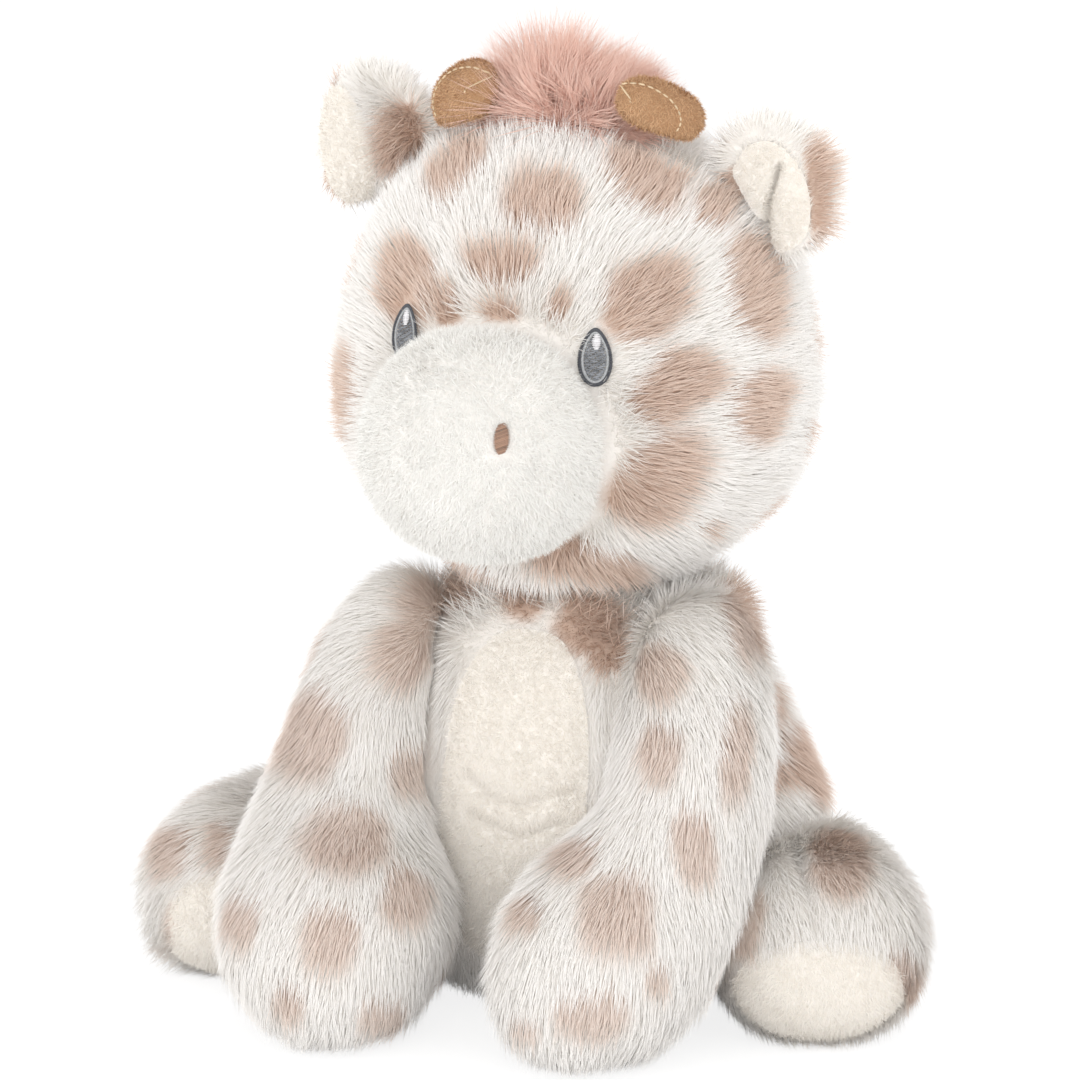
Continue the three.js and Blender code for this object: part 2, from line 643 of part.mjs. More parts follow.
// The column that the sole takes out of the end of a foot
function soleColumn(form, turn, inset) {
  const tangent = form.curve.getTangentAt(1);
  const direction = tangent.clone().applyAxisAngle(UP, turn);
  const across = new Vector3(direction.y, -direction.x, 0).normalize();
  const up = direction.clone().cross(across);
  const shape = oval(SOLE_HALF_WIDTH - inset, SOLE_HALF_HEIGHT - inset);
  const geometry = new THREE.ExtrudeGeometry(shape, { depth: FAR, bevelEnabled: false, curveSegments: 10 });
  const middle = form.curve.getPointAt(1).addScaledVector(tangent, -SOLE_WRAP).setZ(SOLE_RISE);
  return solidOf(geometry, new THREE.Matrix4().makeBasis(across, up, direction).setPosition(middle));
}

function frontLegPieces(side, name) {
  const form = frontLegForm(side, name);
  const cover = formSolid(form).subtract(innerSolid(form, COVER)).subtract(bodyCutter);
  const stuffing = innerSolid(form, COVER + GAP).subtract(bodyCutter);
  return [
    mesh(`${name}_front_leg_cover`, aboveFloor(cover), WHITE_PLUSH),
    mesh(`${name}_front_leg_stuffing`, stuffing, FIBRE),
  ];
}

function hindLegPieces(side, name) {
  const form = hindLegForm(side, name);
  const cutter = bodyCutter.add(formSolid(frontLegForm(side, name), -GAP));
  const turn = -side * THREE.MathUtils.degToRad(SOLE_TURN_ANGLE[name]);
  const skin = aboveFloor(formSolid(form).subtract(innerSolid(form, COVER)).subtract(cutter));
  const stuffing = innerSolid(form, COVER + GAP).subtract(cutter);
  return [
    mesh(`${name}_hind_leg_cover`, skin.subtract(soleColumn(form, turn, 0)), WHITE_PLUSH),
    mesh(`${name}_hind_leg_sole`, skin.intersect(soleColumn(form, turn, GAP)), CREAM_VELOUR),
    mesh(`${name}_hind_leg_stuffing`, stuffing, FIBRE),
  ];
}

// Tail
function tailRoot() {
  const start = new Vector3(0, bodyForm.curve.getPointAt(TAIL_HEIGHT / BODY_HEIGHT).y, TAIL_HEIGHT);
  const skin = surfacePoint(bodySolid, start, FORWARD.clone().negate());
  return skin.add(new Vector3(0, TAIL_RADIUS - COVER / 2, 0));
}

function tailSocket() {
  return ball(tailRoot(), TAIL_RADIUS + GAP);
}

function tailPieces() {
  const root = tailRoot();
  const drop = THREE.MathUtils.degToRad(TAIL_DROP_ANGLE);
  const direction = new Vector3(0, Math.cos(drop), -Math.sin(drop));
  const at = (distance) => root.clone().addScaledVector(direction, distance);
  const stem = stuffedForm({
    spine: [at(-TAIL_RADIUS), at(TAIL_LENGTH)],
    widths: [TAIL_RADIUS, TAIL_RADIUS * TAIL_TAPER],
    depths: [TAIL_RADIUS, TAIL_RADIUS * TAIL_TAPER],
    corner: ROUND_CORNERS,
    ends: TAIL_ENDS,
  });
  const tuftRadii = [TAIL_TUFT_ROOT, 1, TAIL_TUFT_TIP].map((share) => share * TAIL_TUFT_RADIUS);
  const tuftForm = stuffedForm({
    spine: [at(TAIL_LENGTH - TAIL_TUFT_LENGTH / 2), at(TAIL_LENGTH + TAIL_TUFT_LENGTH / 2)],
    widths: tuftRadii,
    depths: tuftRadii,
  });
  const tuft = smallSolid(tuftForm, 0).subtract(smallSolid(stem, -GAP));
  return [
    mesh("tail_stem", smallSolid(stem, 0), WHITE_PLUSH),
    mesh("tail_tuft", tuft, ROSE_PILE),
  ];
}

// A body that moves: a group that stands at its hinge, with its pieces drawn about that point
function hinged(name, hinge, pieces) {
  const group = new THREE.Group();
  group.name = name;
  group.position.copy(hinge);
  for (const piece of pieces) {
    piece.geometry.translate(-hinge.x, -hinge.y, -hinge.z);
  }
  return group.add(...pieces);
}

const toy = new THREE.Group();
const head = new THREE.Group();
head.name = "head";
head.applyMatrix4(headPose());
head.add(...headPieces(), ...muzzlePieces(), ...crownPieces());
for (const [side, name] of SIDES) {
  head.add(...facePieces(side, name), earGroup(side, name));
  toy.add(hinged(`${name}_front_leg`, shoulderPoint(side), frontLegPieces(side, name)));
  toy.add(hinged(`${name}_hind_leg`, hipPoint(side), hindLegPieces(side, name)));
}
toy.add(head, hinged("neck", neckCentre, [neckPiece()]));
toy.add(...bodyPieces(), ...rattlePieces(), hinged("tail", tailRoot(), tailPieces()));

// The toy is drawn about its neck, and here the middle of its seat comes to the origin
toy.position.set(0, -BODY_LEAN[0], 0);

export default toy;
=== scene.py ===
# A seated plush giraffe with a rattle in its belly: metres, +Z up, facing -Y, its left side +X.
import math

import bmesh
import bpy
import numpy as np
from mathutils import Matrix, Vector
from mathutils.bvhtree import BVHTree


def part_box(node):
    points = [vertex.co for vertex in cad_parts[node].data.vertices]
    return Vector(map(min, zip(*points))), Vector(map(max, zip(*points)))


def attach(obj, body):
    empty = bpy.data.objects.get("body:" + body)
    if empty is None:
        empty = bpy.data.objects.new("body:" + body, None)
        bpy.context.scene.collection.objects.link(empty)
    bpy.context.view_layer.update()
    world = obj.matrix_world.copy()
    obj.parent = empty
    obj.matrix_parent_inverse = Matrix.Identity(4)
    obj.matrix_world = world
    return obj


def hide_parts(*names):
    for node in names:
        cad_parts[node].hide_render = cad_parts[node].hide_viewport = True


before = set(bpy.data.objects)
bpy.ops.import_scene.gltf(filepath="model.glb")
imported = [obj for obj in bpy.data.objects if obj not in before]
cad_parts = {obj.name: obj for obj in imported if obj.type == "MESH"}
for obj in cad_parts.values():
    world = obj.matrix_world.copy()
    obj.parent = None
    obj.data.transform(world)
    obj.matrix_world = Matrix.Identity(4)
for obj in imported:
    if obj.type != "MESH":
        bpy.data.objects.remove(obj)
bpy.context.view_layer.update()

# Camera
# A long lens a little to the toy's left and above it. Its place was found by laying the solids'
# outline over the photograph, which is 1080 pixels square.
PHOTO = 1080
CAMERA_AZIMUTH = math.radians(23)
CAMERA_ELEVATION = math.radians(11)
CAMERA_DISTANCE = 1.1
AIM = Vector((0, -0.010, 0.110))
AIM_PIXEL = (575, 561)
PIXELS_PER_METRE = 3940
SENSOR_MM = 36

level = math.cos(CAMERA_ELEVATION)
toward = Vector((
    math.sin(CAMERA_AZIMUTH) * level, -math.cos(CAMERA_AZIMUTH) * level, math.sin(CAMERA_ELEVATION),
))
right = Vector((math.cos(CAMERA_AZIMUTH), math.sin(CAMERA_AZIMUTH), 0))
above = toward.cross(right)
eye = AIM + toward * CAMERA_DISTANCE


def placed(name, data):
    """A mesh, lamp or camera as an object of the scene."""
    made = bpy.data.objects.new(name, data)
    bpy.context.scene.collection.objects.link(made)
    return made


camera = placed("camera", bpy.data.cameras.new("camera"))
camera.location = eye
camera.rotation_euler = (-toward).to_track_quat("-Z", "Y").to_euler()
camera.data.sensor_width = SENSOR_MM
camera.data.lens = PIXELS_PER_METRE * CAMERA_DISTANCE * SENSOR_MM / PHOTO
camera.data.shift_x = (PHOTO / 2 - AIM_PIXEL[0]) / PHOTO
camera.data.shift_y = (AIM_PIXEL[1] - PHOTO / 2) / PHOTO
bpy.context.scene.camera = camera


def photo_pixels(points):
    """Where points of the object fall in the photograph."""
    away = points - np.array(AIM)
    scale = PIXELS_PER_METRE * CAMERA_DISTANCE / (CAMERA_DISTANCE - away @ np.array(toward))
    return np.stack([
        AIM_PIXEL[0] + away @ np.array(right) * scale,
        AIM_PIXEL[1] - away @ np.array(above) * scale,
    ], 1)


def place_seen_at(surface, pixel):
    """The point of a surface that the photograph shows at a pixel, or else the nearest one."""
    spot = AIM + right * ((pixel[0] - AIM_PIXEL[0]) / PIXELS_PER_METRE)
    spot += above * ((AIM_PIXEL[1] - pixel[1]) / PIXELS_PER_METRE)
    place = surface.ray_cast(eye, (spot - eye).normalized())[0]
    return surface.find_nearest(spot)[0] if place is None else place


# Light and floor
# Soft even light from low in front and both sides, over a white floor that keeps the shadow.
# The camera and shiny surfaces see the sky and floor as white, whatever light falls on the toy.
WORLD_LEVEL = 0.88
LAMPS = (
    ("left side", (-0.80, -0.95, 0.20), 1.0, 4.2),
    ("front", (0.30, -1.25, 0.12), 1.0, 6.0),
    ("right side", (1.15, -0.35, 0.18), 1.0, 3.4),
    ("crown", (0.25, -0.15, 1.2), 0.8, 0.9),
)
FLOOR_HALF = 6
FLOOR_WHITE = 0.92
FLOOR_SHARE = 0.72
FLOOR_SHINE = 1.17
WHITE_LIGHT = (1, 1, 1, 1)


def add(tree, kind, inputs=(), **settings):
    """A node of a tree, with its settings made first and then its inputs, which are values or links."""
    node = tree.nodes.new(kind)
    for key, value in settings.items():
        setattr(node, key, value)
    for key, value in dict(inputs).items():
        value = value.socket if isinstance(value, Value) else value
        if isinstance(value, bpy.types.NodeSocket):
            tree.links.new(value, node.inputs[key])
        else:
            node.inputs[key].default_value = value
    return node


class Value:
    """A number in a node tree, on which Python's operators add Math nodes."""

    def __init__(self, socket):
        self.socket = socket

    def math(self, operation, other, turned=False):
        terms = (other, self) if turned else (self, other)
        node = add(self.socket.id_data, "ShaderNodeMath", enumerate(terms), operation=operation)
        return Value(node.outputs[0])

    def __add__(self, other):
        return self.math("ADD", other)

    def __sub__(self, other):
        return self.math("SUBTRACT", other)

    def __mul__(self, other):
        return self.math("MULTIPLY", other)

    def __truediv__(self, other):
        return self.math("DIVIDE", other)

    def __rsub__(self, other):
        return self.math("SUBTRACT", other, turned=True)

    __radd__ = __add__
    __rmul__ = __mul__

    def at_least(self, other):
        return self.math("MAXIMUM", other)

    def clamp(self):
        return self.at_least(0.0).math("MINIMUM", 1.0)

    def rise(self, low, high):
        """From 0 at low to 1 at high."""
        return ((self - low) / (high - low)).clamp()


def material(name):
    """An empty material and its tree."""
    made = bpy.data.materials.new(name)
    made.use_nodes = True
    made.node_tree.nodes.clear()
    return made, made.node_tree


def rays_of(tree, *kinds):
    """1 for rays of the kinds named, and 0 for the rest."""
    outputs = add(tree, "ShaderNodeLightPath").outputs
    return sum(Value(outputs[f"Is {kind} Ray"]) for kind in kinds).clamp()


world = bpy.data.worlds.new("studio")
bpy.context.scene.world = world
world.use_nodes = True
sky = world.node_tree
sky.nodes.clear()
plain = add(sky, "ShaderNodeBackground", {"Color": WHITE_LIGHT, "Strength": WORLD_LEVEL})
white = add(sky, "ShaderNodeBackground", {"Color": WHITE_LIGHT, "Strength": 1.0})
shown = rays_of(sky, "Camera", "Glossy", "Transmission")
both = add(sky, "ShaderNodeMixShader", {0: shown, 1: plain.outputs[0], 2: white.outputs[0]})
add(sky, "ShaderNodeOutputWorld", {"Surface": both.outputs[0]})

for name, place, width, power in LAMPS:
    lamp = placed(name, bpy.data.lights.new(name, "AREA"))
    lamp.data.size = width
    lamp.data.energy = power
    lamp.location = place
    lamp.rotation_euler = (AIM - Vector(place)).to_track_quat("-Z", "Y").to_euler()

floor_mesh = bpy.data.meshes.new("floor")
corners = [(x * FLOOR_HALF, y * FLOOR_HALF, 0) for x, y in ((-1, -1), (1, -1), (1, 1), (-1, 1))]
floor_mesh.from_pydata(corners, [], [(0, 1, 2, 3)])
paper, sheet = material("paper")
matt = add(sheet, "ShaderNodeBsdfDiffuse", {"Color": (FLOOR_WHITE,) * 3 + (1,)})
shine = add(sheet, "ShaderNodeEmission", {"Color": WHITE_LIGHT, "Strength": FLOOR_SHINE})
shown = rays_of(sheet, "Camera", "Glossy") * FLOOR_SHARE
both = add(sheet, "ShaderNodeMixShader", {0: shown, 1: matt.outputs[0], 2: shine.outputs[0]})
add(sheet, "ShaderNodeOutputMaterial", {"Surface": both.outputs[0]})
floor_mesh.materials.append(paper)
placed("floor", floor_mesh)
bpy.context.scene.view_settings.view_transform = "Standard"

# Rattle
# Two moulded plastic cups that meet rim to rim in the filling, with five loose beads inside.
# They are hidden in the belly, and their solids are their real shape.
CUP_PLASTIC = "#f2efe6"
BEAD_PLASTIC = "#d9c9a8"
BEAD_COUNT = 5
PLASTIC_SHADE = 0.94
PLASTIC_GRAIN = 0.00005


def colour(code, depth=1.0):
    """A web colour as linear light, darker where depth is under 1."""
    shares = [int(code[at:at + 2], 16) / 255 for at in (1, 3, 5)]
    linear = [s / 12.92 if s <= 0.04045 else ((s + 0.055) / 1.055) ** 2.4 for s in shares]
    return tuple(depth * s for s in linear) + (1,)


def finish_with(tree, inputs):
    """Ends a material in one Principled shader."""
    shader = add(tree, "ShaderNodeBsdfPrincipled", inputs)
    add(tree, "ShaderNodeOutputMaterial", {"Surface": shader.outputs[0]})


def mixed(tree, share, low, high):
    """A colour between two colours, which are codes, colours or links."""
    low, high = (colour(end) if isinstance(end, str) else end for end in (low, high))
    return add(tree, "ShaderNodeMix", {0: share, 6: low, 7: high}, data_type="RGBA").outputs[2]


def noise(tree, scale):
    """Soft noise over an object's own coordinates, from 0 to 1."""
    place = add(tree, "ShaderNodeTexCoord").outputs["Object"]
    inputs = {"Vector": place, "Scale": scale, "Detail": 2.0}
    return Value(add(tree, "ShaderNodeTexNoise", inputs).outputs[0])


def bumped(tree, height, distance):
    return add(tree, "ShaderNodeBump", {"Height": height, "Distance": distance, "Strength": 1.0}).outputs[0]


def moulded_plastic(name, code):
    """Smooth plastic with a faint cloud in its colour and the grain of its mould."""
    made, tree = material(name)
    grain = noise(tree, scale=900.0)
    cloud = noise(tree, scale=60.0).rise(low=0.35, high=0.65)
    finish_with(tree, {
        "Base Color": mixed(tree, cloud, colour(code, PLASTIC_SHADE), code),
        "Roughness": grain * 0.12 + 0.38,
        "Normal": bumped(tree, grain, PLASTIC_GRAIN),
    })
    return made


def dressed(node, made):
    """A CAD node keeps its shape and takes a material."""
    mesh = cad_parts[node].data
    mesh.materials.clear()
    mesh.materials.append(made)


cup_plastic = moulded_plastic("cup_plastic", CUP_PLASTIC)
bead_plastic = moulded_plastic("bead_plastic", BEAD_PLASTIC)
for side in ("left", "right"):
    dressed(f"rattle_shell_{side}", cup_plastic)
for number in range(BEAD_COUNT):
    dressed(f"rattle_bead_{number + 1}", bead_plastic)

# Body
# A stuffed sack of long-pile plush, narrow at the shoulders and wide where it sits.
# Its skin is sewn inside out, turned and filled, and the pile is brushed down over the seams.
SKIN_VOXEL = 0.0032
SKIN_SMOOTHING = 14
SMOOTHING_TURNS = (0.5, -0.51)
FULLNESS = 5.0
FILLING_STEPS = 20
MOST_SWELL = 0.0025
DOUBLE_GAP = 1e-6
FIRM_FILL = 0.85


def solids_of(nodes):
    """The loose triangles of CAD nodes, in one working mesh."""
    work = bmesh.new()
    for node in nodes:
        work.from_mesh(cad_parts[node].data)
    return work


def meshed(work, mesh):
    """Writes a working mesh into a mesh and lets it go."""
    work.to_mesh(mesh)
    work.free()
    return mesh


def settled(piece):
    """Turns what a piece's modifiers make into its mesh, and removes them."""
    graph = bpy.context.evaluated_depsgraph_get()
    mesh = bpy.data.meshes.new_from_object(piece.evaluated_get(graph))
    piece.modifiers.clear()
    piece.data = mesh
    mesh.name = piece.name


def outer_part(mesh):
    """Keeps the largest part of a mesh, without the hollows that a remesh leaves inside."""
    work = bmesh.new()
    work.from_mesh(mesh)
    left = set(work.verts)
    best = []
    while left:
        first = left.pop()
        part, edge = [first], [first]
        while edge:
            near = [e.other_vert(v) for v in edge for e in v.link_edges]
            edge = [v for v in dict.fromkeys(near) if v in left]
            left.difference_update(edge)
            part += edge
        best = max(best, part, key=len)
    kept = set(best)
    bmesh.ops.delete(work, geom=[v for v in work.verts if v not in kept], context="VERTS")
    meshed(work, mesh)


def rows(layer, name, wide=3):
    """What a mesh's layer holds for each of its points, as rows."""
    values = np.empty(len(layer) * wide, np.float32)
    layer.foreach_get(name, values)
    return values.reshape(-1, wide).astype(float)


def points_of(piece):
    return rows(piece.data.vertices, "co")


def normals_of(piece):
    return rows(piece.data.vertex_normals, "vector")


def move_points(piece, points):
    piece.data.vertices.foreach_set("co", points.astype(np.float32).ravel())
    piece.data.update()


def smoothed(piece, rounds):
    """Evens a surface out and keeps its size, by turns of drawing in and pushing out."""
    pairs = np.empty(len(piece.data.edges) * 2, np.int32)
    piece.data.edges.foreach_get("vertices", pairs)
    a, b = pairs.reshape(-1, 2).T
    points = points_of(piece)
    count = np.bincount(np.r_[a, b], minlength=len(points))[:, None]
    for turn in range(2 * rounds):
        total = np.zeros_like(points)
        np.add.at(total, a, points[b])
        np.add.at(total, b, points[a])
        points += (total / count - points) * SMOOTHING_TURNS[turn % 2]
    move_points(piece, points)


def round_faced(piece):
    for face in piece.data.polygons:
        face.use_smooth = True
    return piece


def stuffed(name, nodes, voxel=SKIN_VOXEL, rounds=SKIN_SMOOTHING, swell=MOST_SWELL):
    """A skin over CAD nodes that the filling blows out a little, as a cloth simulation."""
    work = solids_of(nodes)
    bmesh.ops.remove_doubles(work, verts=work.verts, dist=DOUBLE_GAP)
    piece = placed(name, meshed(work, bpy.data.meshes.new(name)))
    remesh = piece.modifiers.new("remesh", "REMESH")
    remesh.mode = "VOXEL"
    remesh.voxel_size = voxel
    settled(piece)
    outer_part(piece.data)
    smoothed(piece, rounds)
    if swell:
        before = points_of(piece)
        cloth = piece.modifiers.new("cloth", "CLOTH")
        cloth.settings.use_pressure = True
        cloth.settings.uniform_pressure_force = FULLNESS
        cloth.settings.effector_weights.gravity = 0
        for step in range(1, FILLING_STEPS + 1):
            bpy.context.scene.frame_set(step)
        settled(piece)
        bpy.context.scene.frame_set(1)
        moved = points_of(piece) - before
        far = np.linalg.norm(moved, axis=1, keepdims=True)
        move_points(piece, before + moved * np.minimum(1, swell / np.maximum(far, 1e-9)))
    finer = piece.modifiers.new("finer", "SUBSURF")
    finer.levels = finer.render_levels = 1
    settled(piece)
    return round_faced(piece)


def store(piece, name, values):
    """Keeps numbers or directions at a piece's points."""
    kind, key = ("FLOAT", "value") if values.ndim == 1 else ("FLOAT_VECTOR", "vector")
    layer = piece.data.attributes.new(name, kind, "POINT")
    layer.data.foreach_set(key, values.astype(np.float32).ravel())


def without(piece, *names):
    """Drops what a piece kept at its points and needs no more."""
    for name in names:
        if name in piece.data.attributes:
            piece.data.attributes.remove(piece.data.attributes[name])


def surface_of(piece):
    """A piece's surface, for finding places on it."""
    faces = [tuple(f.vertices) for f in piece.data.polygons]
    return BVHTree.FromPolygons([tuple(v.co) for v in piece.data.vertices], faces)


def solid_tree(*nodes):
    """The surface of CAD nodes, for finding what lies near them."""
    work = solids_of(nodes)
    tree = BVHTree.FromBMesh(work)
    work.free()
    return tree


def gaps_to(tree, points, most):
    """How far points are from a surface, up to a most."""
    gaps = [tree.find_nearest(Vector(p), most)[3] for p in points]
    return np.array([most if gap is None else gap for gap in gaps])


def waves(points, size):
    """A smooth uneven number from about -1 to 1, whose patches are about size across."""
    x, y, z = (points * (2 * math.pi / size)).T
    mixture = np.sin(x + 1.7 * np.sin(y * 0.8)) + np.sin(y * 1.1 + 1.3 * np.sin(z * 0.9 + 1))
    return (mixture + np.sin(z * 0.95 + 1.5 * np.sin(x * 0.7 + 2))) / 3


def oval_share(pixels, oval, square=2):
    """How far pixels are from the middle of an oval, as a share of the way to its edge."""
    across, down, wide, high, turn = oval
    c, s = math.cos(math.radians(turn)), math.sin(math.radians(turn))
    x, y = (pixels - (across, down)).T
    u, v = (x * c + y * s) / (wide / 2), (y * c - x * s) / (high / 2)
    return (np.abs(u) ** square + np.abs(v) ** square) ** (1 / square)


def combed(piece, way):
    """Stores the way the pile is brushed, one for all or one for each point."""
    points = points_of(piece)
    way = way(points) if callable(way) else np.array(way)
    store(piece, "comb", np.broadcast_to(way, points.shape).copy())


SPOT_SQUARE = 2.5
SPOT_SOFT = 0.26
SPOT_UNEVEN = 0.13
SPOT_REACH = 0.95
UNEVEN_SIZES = (0.013, 0.031)
UNEVEN_SHIFT = 0.1
HIDDEN_SPACING = 0.0225
HIDDEN_RADII = (0.0095, 0.0080)
HIDDEN_STRETCH = 0.4
HIDDEN_UNEVEN = 1.6
HIDDEN_FACING = -0.2
PILE_LEAN = 1.25
PILE_SEEN = 0.0050


def seen_places(piece):
    """Where the part of the pile that shows lies, for each point that it grows from."""
    points, normals = points_of(piece), normals_of(piece)
    lean = rows(piece.data.attributes["comb"].data, "vector") * PILE_LEAN
    lean -= normals * (lean * normals).sum(1)[:, None]
    way = normals + lean
    return points + way * (PILE_SEEN / np.linalg.norm(way, axis=1))[:, None]


def spotted(piece, spots, depth=1.0, facing=HIDDEN_FACING, size=1.0):
    """Stores a combed piece's spots: the photograph's, and more between them out of its sight."""
    points, normals = points_of(piece), normals_of(piece)
    surface, pixels = surface_of(piece), photo_pixels(seen_places(piece))
    ragged = sum(waves(points + UNEVEN_SHIFT * turn, wide) * SPOT_UNEVEN
                 for turn, wide in enumerate(UNEVEN_SIZES))
    shade = np.zeros(len(points))
    gap = np.ones(len(points))

    def dyed(away):
        return np.clip((1 + SPOT_SOFT - away) / (2 * SPOT_SOFT), 0, 1)

    for spot in spots:
        centre = np.array(place_seen_at(surface, spot[:2]))
        away = np.linalg.norm(points - centre, axis=1)
        gap = np.minimum(gap, away)
        near = away < SPOT_REACH * max(spot[2:4]) / PIXELS_PER_METRE + PILE_SEEN
        shade = np.maximum(shade, dyed(oval_share(pixels, spot, SPOT_SQUARE) + ragged) * near)
    gap[normals @ np.array(toward) > facing] = 0
    count = len(spots)
    while gap.max() > HIDDEN_SPACING:
        pick = int(gap.argmax())
        away = np.linalg.norm(points - points[pick], axis=1)
        gap = np.minimum(gap, away)
        axis = np.array(Vector(normals[pick]).orthogonal().normalized())
        along = (points - points[pick]) @ axis
        radius = HIDDEN_RADII[count % 2] * size
        away = np.sqrt(away ** 2 - along ** 2 * HIDDEN_STRETCH) / radius
        shade = np.maximum(shade, dyed(away + ragged * HIDDEN_UNEVEN))
        count += 1
    store(piece, "spot", shade * depth)


SEAM_CLEARANCE = 0.0014
PRESSED_PILE = 0.26
MOST_REACHES = 4
CREASE_FAR = 1e3
CREASE_FACING = 3


def cleared(piece, trees, reach=SEAM_CLEARANCE, pressed=0.0, clipped=None, margin=0.0, least=0.0, over=0.0):
    """Stores how long the pile is: short beside other pieces, and cut back where it would hide one."""
    points = points_of(piece)
    length = np.ones(len(points))
    for tree in trees:
        share = (gaps_to(tree, points, MOST_REACHES * reach) - reach) / reach
        length = np.minimum(length, np.clip(share, pressed, 1))
    if clipped:
        comb = rows(piece.data.attributes["comb"].data, "vector")
        for row, point in enumerate(points):
            place, _, _, gap = clipped.find_nearest(Vector(point), margin + over)
            if place is not None:
                aim = (place - Vector(point)).normalized().dot(Vector(comb[row]).normalized())
                wide = margin + over * max(0.0, aim)
                length[row] = min(length[row], least + (1 - least) * min(1.0, max(0.0, 2 * gap / wide - 1)))
    store(piece, "pile", length)


def shortened(piece, factor):
    """Cuts a skin's pile to a share of its length."""
    layer = piece.data.attributes["pile"].data
    layer.foreach_set("value", (rows(layer, "value", 1)[:, 0] * factor).astype(np.float32))


def creased(piece, line, wide, deep):
    """Presses a crease into a piece along a line of the photograph, and tells how deep each point lies."""
    points, normals = points_of(piece), normals_of(piece)
    pixels = photo_pixels(points)
    gap = np.full(len(points), CREASE_FAR)
    for start, end in zip(np.array(line[:-1], float), np.array(line[1:], float)):
        along = np.clip((pixels - start) @ (end - start) / ((end - start) @ (end - start)), 0, 1)
        gap = np.minimum(gap, np.linalg.norm(pixels - start - along[:, None] * (end - start), axis=1))
    facing = np.clip(normals @ np.array(toward) * CREASE_FACING, 0, 1)
    fold = np.exp(-(gap / wide) ** 2) * facing
    move_points(piece, points - normals * (fold * deep)[:, None])
    return fold


def drawn_out(piece, pixel, wide, move):
    """Draws the cloth round a place in the photograph a little across and up."""
    points = points_of(piece)
    share = np.exp(-(np.linalg.norm(photo_pixels(points) - pixel, axis=1) / wide) ** 2)
    move_points(piece, points + share[:, None] * np.array(right * move[0] + above * move[1]))


def based(piece, ground, body):
    """Gives a piece the map its finish is drawn through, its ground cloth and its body."""
    if "OFBake" not in piece.data.uv_layers:
        piece.data.uv_layers.new(name="OFBake")
        bpy.ops.object.select_all(action="DESELECT")
        bpy.context.view_layer.objects.active = piece
        piece.select_set(True)
        bpy.ops.object.mode_set(mode="EDIT")
        bpy.ops.mesh.select_all(action="SELECT")
        bpy.ops.uv.smart_project(angle_limit=math.radians(70), island_margin=0.004)
        bpy.ops.object.mode_set(mode="OBJECT")
        piece.select_set(False)
    piece.data.materials.append(ground)
    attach(piece, body)


def stands_for(piece, fill, *nodes):
    """A stuffed piece takes the place of its CAD nodes."""
    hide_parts(*nodes)


DIRECTION = "FLOAT_VECTOR"


class Recipe:
    """A Geometry Nodes tree in the making, with inputs by name."""

    def __init__(self, name, wanted):
        self.tree = bpy.data.node_groups.new(name, "GeometryNodeTree")
        socket = self.tree.interface.new_socket
        socket(name="Geometry", in_out="OUTPUT", socket_type="NodeSocketGeometry")
        for title, kind in wanted.items():
            socket(name=title, in_out="INPUT", socket_type="NodeSocket" + kind)
        self.given = {s.name: s for s in add(self.tree, "NodeGroupInput").outputs}

    def node(self, kind, inputs=(), output=0, **settings):
        return add(self.tree, kind, inputs, **settings).outputs[output]

    def vector(self, operation, *terms, scale=None):
        inputs = dict(enumerate(terms)) | ({} if scale is None else {3: scale})
        return self.node("ShaderNodeVectorMath", inputs, operation=operation)

    def named(self, name, kind="FLOAT"):
        return self.node("GeometryNodeInputNamedAttribute", {"Name": name}, data_type=kind)

    def kept(self, geometry, name, value, kind="FLOAT", domain="POINT"):
        inputs = {"Geometry": geometry, "Name": name, "Value": value}
        return self.node("GeometryNodeStoreNamedAttribute", inputs, data_type=kind, domain=domain)

    def chance(self, low, high, seed, kind="FLOAT"):
        """A random number or direction."""
        first, output = (2, 1) if kind == "FLOAT" else (0, 0)
        inputs = {first: low, first + 1: high, 8: seed}
        return self.node("FunctionNodeRandomValue", inputs, output, data_type=kind)

    def copies(self, points, shape, axes, ways, sizes):
        """A shape at each point, turned by two directions and sized, as one real mesh."""
        inputs = {"Primary Axis": ways[0], "Secondary Axis": ways[1]}
        turn = self.node("FunctionNodeAxesToRotation", inputs, primary_axis=axes[0], secondary_axis=axes[1])
        scale = self.node("ShaderNodeCombineXYZ", enumerate(sizes))
        inputs = {"Points": points, "Instance": shape, "Rotation": turn, "Scale": scale}
        laid = self.node("GeometryNodeInstanceOnPoints", inputs)
        return self.node("GeometryNodeRealizeInstances", {"Geometry": laid})

    def ended(self, geometry):
        """Gives what is made its finish, and ends the tree."""
        inputs = {"Geometry": geometry, "Material": self.given["Finish"]}
        add(self.tree, "NodeGroupOutput", {0: self.node("GeometryNodeSetMaterial", inputs)})
        return self.tree


def worked(piece, tree, values, spare, body, slot):
    """Runs a tree on a piece, drops what only the tree needed, and gives the result its body; the slot is not
    used.
    """
    modifier = piece.modifiers.new(tree.name, "NODES")
    modifier.node_group = tree
    for item in tree.interface.items_tree:
        if item.in_out == "INPUT" and item.name in values:
            modifier[item.identifier] = values[item.name]
    settled(piece)
    without(piece, *spare)
    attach(piece, body)
    return piece


SWIRL_SCALE = 55.0
LOCK_SWIRL = (3.1, 0.0, 0.0)
LOCK_SCATTER = 1.4
BARE_PILE = 0.04
STRAND_LENGTHS = (0.72, 1.12)
LEAST_BREADTH = 0.6
FLOOR_LIFT = 0.0002
SOFTNESS = 0.98
FOOTPRINT = 0.003


